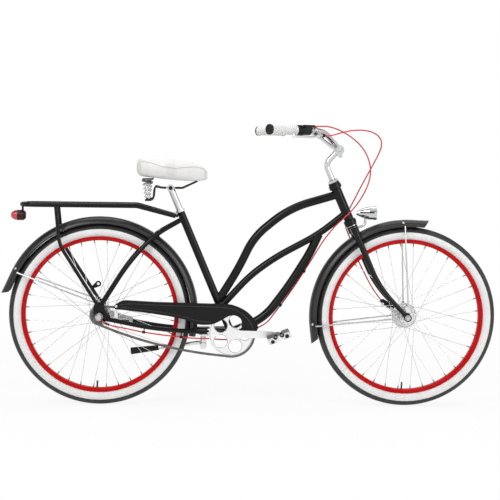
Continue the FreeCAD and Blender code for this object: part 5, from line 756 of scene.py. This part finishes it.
# Clips of the shift cable, by place and direction, and the ferrule at its rear end
clip_half = 0.0055
clip_radius = 0.0049
clip_edge = 0.0006
clip_profile = [(-clip_half, clip_radius - clip_edge), (clip_edge - clip_half, clip_radius),
                (clip_half - clip_edge, clip_radius), (clip_half, clip_radius - clip_edge)]
clips = [
    ((0.19889, 0.0, 0.4975), (-0.5206, 0.0, -0.8538)),
    ((0.11339, 0.0, 0.371), (-0.594, 0.0, -0.8044)),
    ((-0.25311, -0.044, 0.2555), (-0.988, -0.0964, 0.1205)),
    ((-0.38961, -0.055, 0.274), (-0.9816, -0.0854, 0.1707)),
]
for number, (place, way) in enumerate(clips):
    lathe("cable_clip_%d" % number, place, way, clip_profile, black_plastic, "frame")
ferrule_place = (-0.5286, -0.092, 0.31)
ferrule_way = (-0.02, -0.006, 0.008)
ferrule_length = 0.016
ferrule_radius = 0.0036
ferrule_profile = [(-ferrule_length, ferrule_radius - clip_edge),
                   (clip_edge - ferrule_length, ferrule_radius),
                   (-clip_edge, ferrule_radius), (0, ferrule_radius - clip_edge)]
lathe("shift_cable_ferrule", ferrule_place, ferrule_way, ferrule_profile, black_plastic, "frame")

# Washers on the saddle springs and the bolt through the saddle clamp
washer_profile = [(-0.0036, 0.0196), (-0.003, 0.0206), (-0.0008, 0.0206), (0.0, 0.02)]
clamp_half = 0.03
clamp_bolt_profile = [(0.0, 0.0074), (0.003, 0.0074), (0.0042, 0.0066), (0.0042, 0.004), (0.0026, 0.0036)]
for side, hand in sides:
    washer_place = (spring_x, hand * spring_y, spring_top)
    lathe("spring_washer_" + side, washer_place, (0, 0, 1), washer_profile, chain_steel, "saddle",
          wide_turned_corners)
    bolt_place = (clamp_place[0], hand * clamp_half, clamp_place[2])
    lathe("clamp_bolt_" + side, bolt_place, (0, hand, 0), clamp_bolt_profile, black_plastic, "post")

# Bright ring under the lower headset cup
steer_way = Vector((-0.40674, 0, 0.91355))
head_bottom = Vector((0.36866, 0, 0.676))
cup_drop = 0.0088
cup_ring_profile = [(-0.0004, 0.0211), (0.0, 0.0216), (0.0016, 0.0216), (0.002, 0.0211)]
lathe("lower_headset_ring", head_bottom - steer_way * cup_drop, steer_way, cup_ring_profile, chrome, "frame",
      cup_corners)

# Pressed beads on the chain guard, by place along the guard and up it
guard_reach = 0.431
guard_rise = 0.109
guard_face_y = -0.0545
guard_bead_radius = 0.0024
guard_bead_shares = {
    "guard_upper_bead": [(-0.955, 0.93), (-0.9, 1.0), (-0.65, 0.95), (-0.4, 0.925), (-0.14, 0.9),
                         (0.0, 0.875), (0.09, 0.7), (0.155, 0.44), (0.185, 0.16)],
    "guard_lower_bead": [(-0.955, 0.88), (-0.69, 0.765), (-0.53, 0.675), (-0.385, 0.56), (-0.29, 0.4),
                         (-0.17, 0.4)],
}
for name, shares in guard_bead_shares.items():
    route = []
    for along, rise in shares:
        route.append((bracket_x + along * guard_reach, guard_face_y, bracket_height + rise * guard_rise))
    bead = tube(name, smooth_line(route), guard_bead_radius, fender_paint, wire_corners)
    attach(bead, "frame")

# Groove along each side of the headlight, laid on its shell; its black is painted shade and dark reflection
# in the chrome groove
groove_radius = 0.0028
groove_x = (0.402, 0.413, 0.424, 0.435, 0.446, 0.4525)
groove_height = 0.7185
shell = surface_of(nodes["headlight_shell"].data)
for side, hand in sides:
    groove_line = smooth_line([side_point(shell, x, groove_height, hand) for x in groove_x])
    groove = tube("headlight_shaded_groove_" + side, groove_line, groove_radius, black_plastic, wire_corners)
    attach(groove, "fork")

# Turned rings on the front hub's flange, and raised grey rims round the chainring's holes and edge; the rims'
# grey is painted shade along those edges
hub = surface_of(nodes["front_hub"].data)
hub_ring_radii = [0.0435, 0.0385, 0.031]
ring_wire = 0.0009
for number, radius in enumerate(hub_ring_radii):
    face = side_point(hub, front_axle_x + radius, axle_height, -1)
    side_ring("front_hub_ring_%d" % number, (front_axle_x, face.y, axle_height), radius, ring_wire,
              thin_ring_grey, "front_wheel")
# Chainring rims: thin grey rings whose colour is painted shade at the edges of the holes and of the ring
ring_face_y = -0.0483
hole_circle = 0.048
hole_rim_radius = 0.0251
ring_edge_radius = 0.0785
hole_count = 5
for number in range(hole_count):
    turn = 2 * math.pi * number / hole_count
    hole_x = bracket_x + hole_circle * math.cos(turn)
    hole_height = bracket_height + hole_circle * math.sin(turn)
    side_ring("chainring_rim_%d" % number, (hole_x, ring_face_y, hole_height), hole_rim_radius, ring_wire,
              thin_ring_grey, "crank")
side_ring("chainring_shade_edge", (bracket_x, ring_face_y, bracket_height), ring_edge_radius, ring_wire,
          thin_ring_grey, "crank")

# Black rings round the front axle nuts and the knob of the front brake's cable stop
fork_surface = surface_of(nodes["fork_blades"].data)
end_ring_profile = [(-0.0005, 0.0142), (0.0028, 0.0142), (0.0034, 0.0136), (0.0034, 0.0114),
                    (-0.0005, 0.0108)]
end_ring_reach = 0.0115
for side, hand in sides:
    face = side_point(fork_surface, front_axle_x, axle_height - end_ring_reach, hand)
    lathe("fork_end_ring_" + side, (front_axle_x, face.y, axle_height), (0, hand, 0), end_ring_profile,
          black_paint, "fork", wide_turned_corners)
knob_place = (0.499, 0.0428, 0.3735)
knob_profile = [(0.0, 0.004), (0.001, 0.0055), (0.004, 0.006), (0.006, 0.0045), (0.0066, 0.002)]
lathe("brake_adjuster_knob", knob_place, (0, -1, 0), knob_profile, silver, "fork")

# Barrel of the brake lever's cable adjuster and grip ribs of the twist shifter
bar_end = Vector((0.04339, -0.336, 1.01501))
bar_way = Vector((0.76165, 0.64797, -0.00379))
bar_normal = bar_way.orthogonal().normalized()
bar_side = bar_way.cross(bar_normal)
adjuster_start = (0.22817, -0.21214, 0.99639)
adjuster_length = 0.022
adjuster_radius = 0.0066
adjuster_edge = 0.001
adjuster_profile = [(0, adjuster_radius - adjuster_edge), (adjuster_edge, adjuster_radius),
                    (adjuster_length - adjuster_edge, adjuster_radius),
                    (adjuster_length, adjuster_radius - adjuster_edge)]
lathe("lever_adjuster", adjuster_start, bar_way, adjuster_profile, black_plastic, "fork")
rib_count = 20
rib_start = 0.1235
rib_end = 0.1555
rib_ring = 0.0172
rib_radius = 0.0009
for number in range(rib_count):
    turn = 2 * math.pi * number / rib_count
    out = round_way(bar_normal, bar_side, turn) * rib_ring
    rib_line = [bar_end + bar_way * rib_start + out, bar_end + bar_way * rib_end + out]
    rib = tube("twist_rib_%02d" % number, rib_line, rib_radius, black_plastic, wire_corners)
    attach(rib, "twist_grip")

# Return spring and inner wire of the front brake, between the cable and the arm
wire_start = Vector((0.5014, 0.048, 0.378))
wire_end = Vector((0.5245, 0.0385, 0.3783))
wire_radius = 0.0008
coil_radius = 0.0034
coil_wire = 0.0008
coil_turns = 8
wire_way = wire_end - wire_start
coil_normal = wire_way.orthogonal().normalized()
coil_side = wire_way.normalized().cross(coil_normal)
coil_line = []
for step in range(coil_turns * turn_steps + 1):
    share = step / (coil_turns * turn_steps)
    turn = 2 * math.pi * coil_turns * share
    coil_line.append(wire_start + wire_way * share + round_way(coil_normal, coil_side, turn) * coil_radius)
wire_line = [wire_start + wire_way * (step / turn_steps) for step in range(turn_steps + 1)]
brake_lines = [
    ("brake_return_spring", coil_line, coil_wire, black_plastic, "black_plastic"),
    ("brake_inner_wire", wire_line, wire_radius, steel, "steel"),
]
for name, line, radius, material, slot in brake_lines:
    piece = tube(name, line, radius, material, wire_corners)
    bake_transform(piece)

# Studio: pale floor that fades to white, white surround with a darker ceiling in reflections, soft lamps
floor_half = 9.0
floor_white = (0.9, 0.9, 0.9)
floor_roughness = 0.9
shadow_share = 0.86
fade_start = 1.0
fade_end = 3.2


def seen_rays(tree):
    """Two outputs: one for rays seen directly or through glass, and one for mirrored rays."""
    rays = tree.nodes.new("ShaderNodeLightPath")
    direct = link_math(tree, "MAXIMUM", rays.outputs["Is Camera Ray"], rays.outputs["Is Transmission Ray"])
    return direct, rays.outputs["Is Glossy Ray"]


floor_material, floor_tree, floor_shader = new_material("pale_floor")
floor_shader.inputs["Base Color"].default_value = floor_white + (1,)
floor_shader.inputs["Roughness"].default_value = floor_roughness
floor_shader.inputs["Specular IOR Level"].default_value = 0.0
glow = floor_tree.nodes.new("ShaderNodeEmission")
glow.inputs["Strength"].default_value = 1.0
direct, mirrored = seen_rays(floor_tree)
distance = distance_from((0, 0, 0), even)(floor_tree)
fade = ranged(floor_tree, distance, shadow_share, 1.0, fade_start, fade_end)
glow_share = link_math(floor_tree, "MULTIPLY", link_math(floor_tree, "MAXIMUM", direct, mirrored), fade)
mixer = floor_tree.nodes.new("ShaderNodeMixShader")
floor_tree.links.new(glow_share, mixer.inputs["Fac"])
floor_tree.links.new(floor_shader.outputs["BSDF"], mixer.inputs[1])
floor_tree.links.new(glow.outputs["Emission"], mixer.inputs[2])
floor_tree.links.new(mixer.outputs["Shader"], floor_tree.nodes["Material Output"].inputs["Surface"])
floor_corners = [(-floor_half, -floor_half, 0), (floor_half, -floor_half, 0), (floor_half, floor_half, 0),
                 (-floor_half, floor_half, 0)]
floor = add_mesh("floor", floor_corners, [(0, 1, 2, 3)], floor_material, smooth=False)

diffuse_level = 0.34
ceiling_level = 0.12
horizon_level = 1.0
ceiling_start = 0.12
ceiling_end = 0.75
world = bpy.data.worlds.new("studio")
scene.world = world
world.use_nodes = True
sky = world.node_tree
background = sky.nodes["Background"]
background.inputs["Color"].default_value = (1, 1, 1, 1)
direct, mirrored = seen_rays(sky)
sky_place = sky.nodes.new("ShaderNodeTexCoord")
split = sky.nodes.new("ShaderNodeSeparateXYZ")
sky.links.new(sky_place.outputs["Generated"], split.inputs["Vector"])
ceiling = ranged(sky, split.outputs["Z"], horizon_level, ceiling_level, ceiling_start, ceiling_end)
glossy_level = link_math(sky, "MULTIPLY", mirrored, ceiling)
plain_level = link_math(sky, "MULTIPLY", link_math(sky, "SUBTRACT", 1.0, mirrored), diffuse_level)
indirect = link_math(sky, "ADD", glossy_level, plain_level)
sky.links.new(link_math(sky, "MAXIMUM", direct, indirect), background.inputs["Strength"])

# Soft lamps, by name, place, width, height and power
lamp_target = (0, 0, 0.5)
lamps = [
    ("key_lamp", (-2.4, -3.6, 3.4), 2.6, 2.0, 95),
    ("fill_lamp", (3.2, -2.8, 2.2), 2.2, 2.2, 52),
    ("top_lamp", (0, 0.6, 4.2), 4.0, 2.4, 60),
    ("strip_lamp", (0, -1.9, 3.4), 4.4, 0.5, 22),
    ("back_lamp", (0.4, 3.6, 2.6), 3.0, 1.6, 24),
]
for name, place, width, height, power in lamps:
    lamp = bpy.data.lights.new(name, "AREA")
    lamp.shape = "RECTANGLE"
    lamp.size = width
    lamp.size_y = height
    lamp.energy = power
    holder = bpy.data.objects.new(name, lamp)
    holder.location = place
    holder.rotation_euler = (Vector(lamp_target) - Vector(place)).to_track_quat("-Z", "Y").to_euler()
    scene.collection.objects.link(holder)

# Camera at the photograph's viewpoint
camera_place = (-0.2776, -5.2476, 0.9604)
camera_lens = 102.95
camera_sensor = 36.0
yaw = math.radians(3.0)
pitch = math.radians(4.201)
roll = math.radians(0.801)
forward = Vector((math.sin(yaw) * math.cos(pitch), math.cos(yaw) * math.cos(pitch), -math.sin(pitch)))
level_right = Vector((math.cos(yaw), -math.sin(yaw), 0))
level_up = level_right.cross(forward)
right = level_right * math.cos(roll) + level_up * math.sin(roll)
up = level_up * math.cos(roll) - level_right * math.sin(roll)
camera_data = bpy.data.cameras.new("camera")
camera_data.lens = camera_lens
camera_data.sensor_width = camera_sensor
camera = bpy.data.objects.new("camera", camera_data)
camera_turn = Matrix((right, up, -forward)).transposed().to_4x4()
camera.matrix_world = Matrix.Translation(camera_place) @ camera_turn
scene.collection.objects.link(camera)
scene.camera = camera
scene.view_settings.view_transform = "Standard"
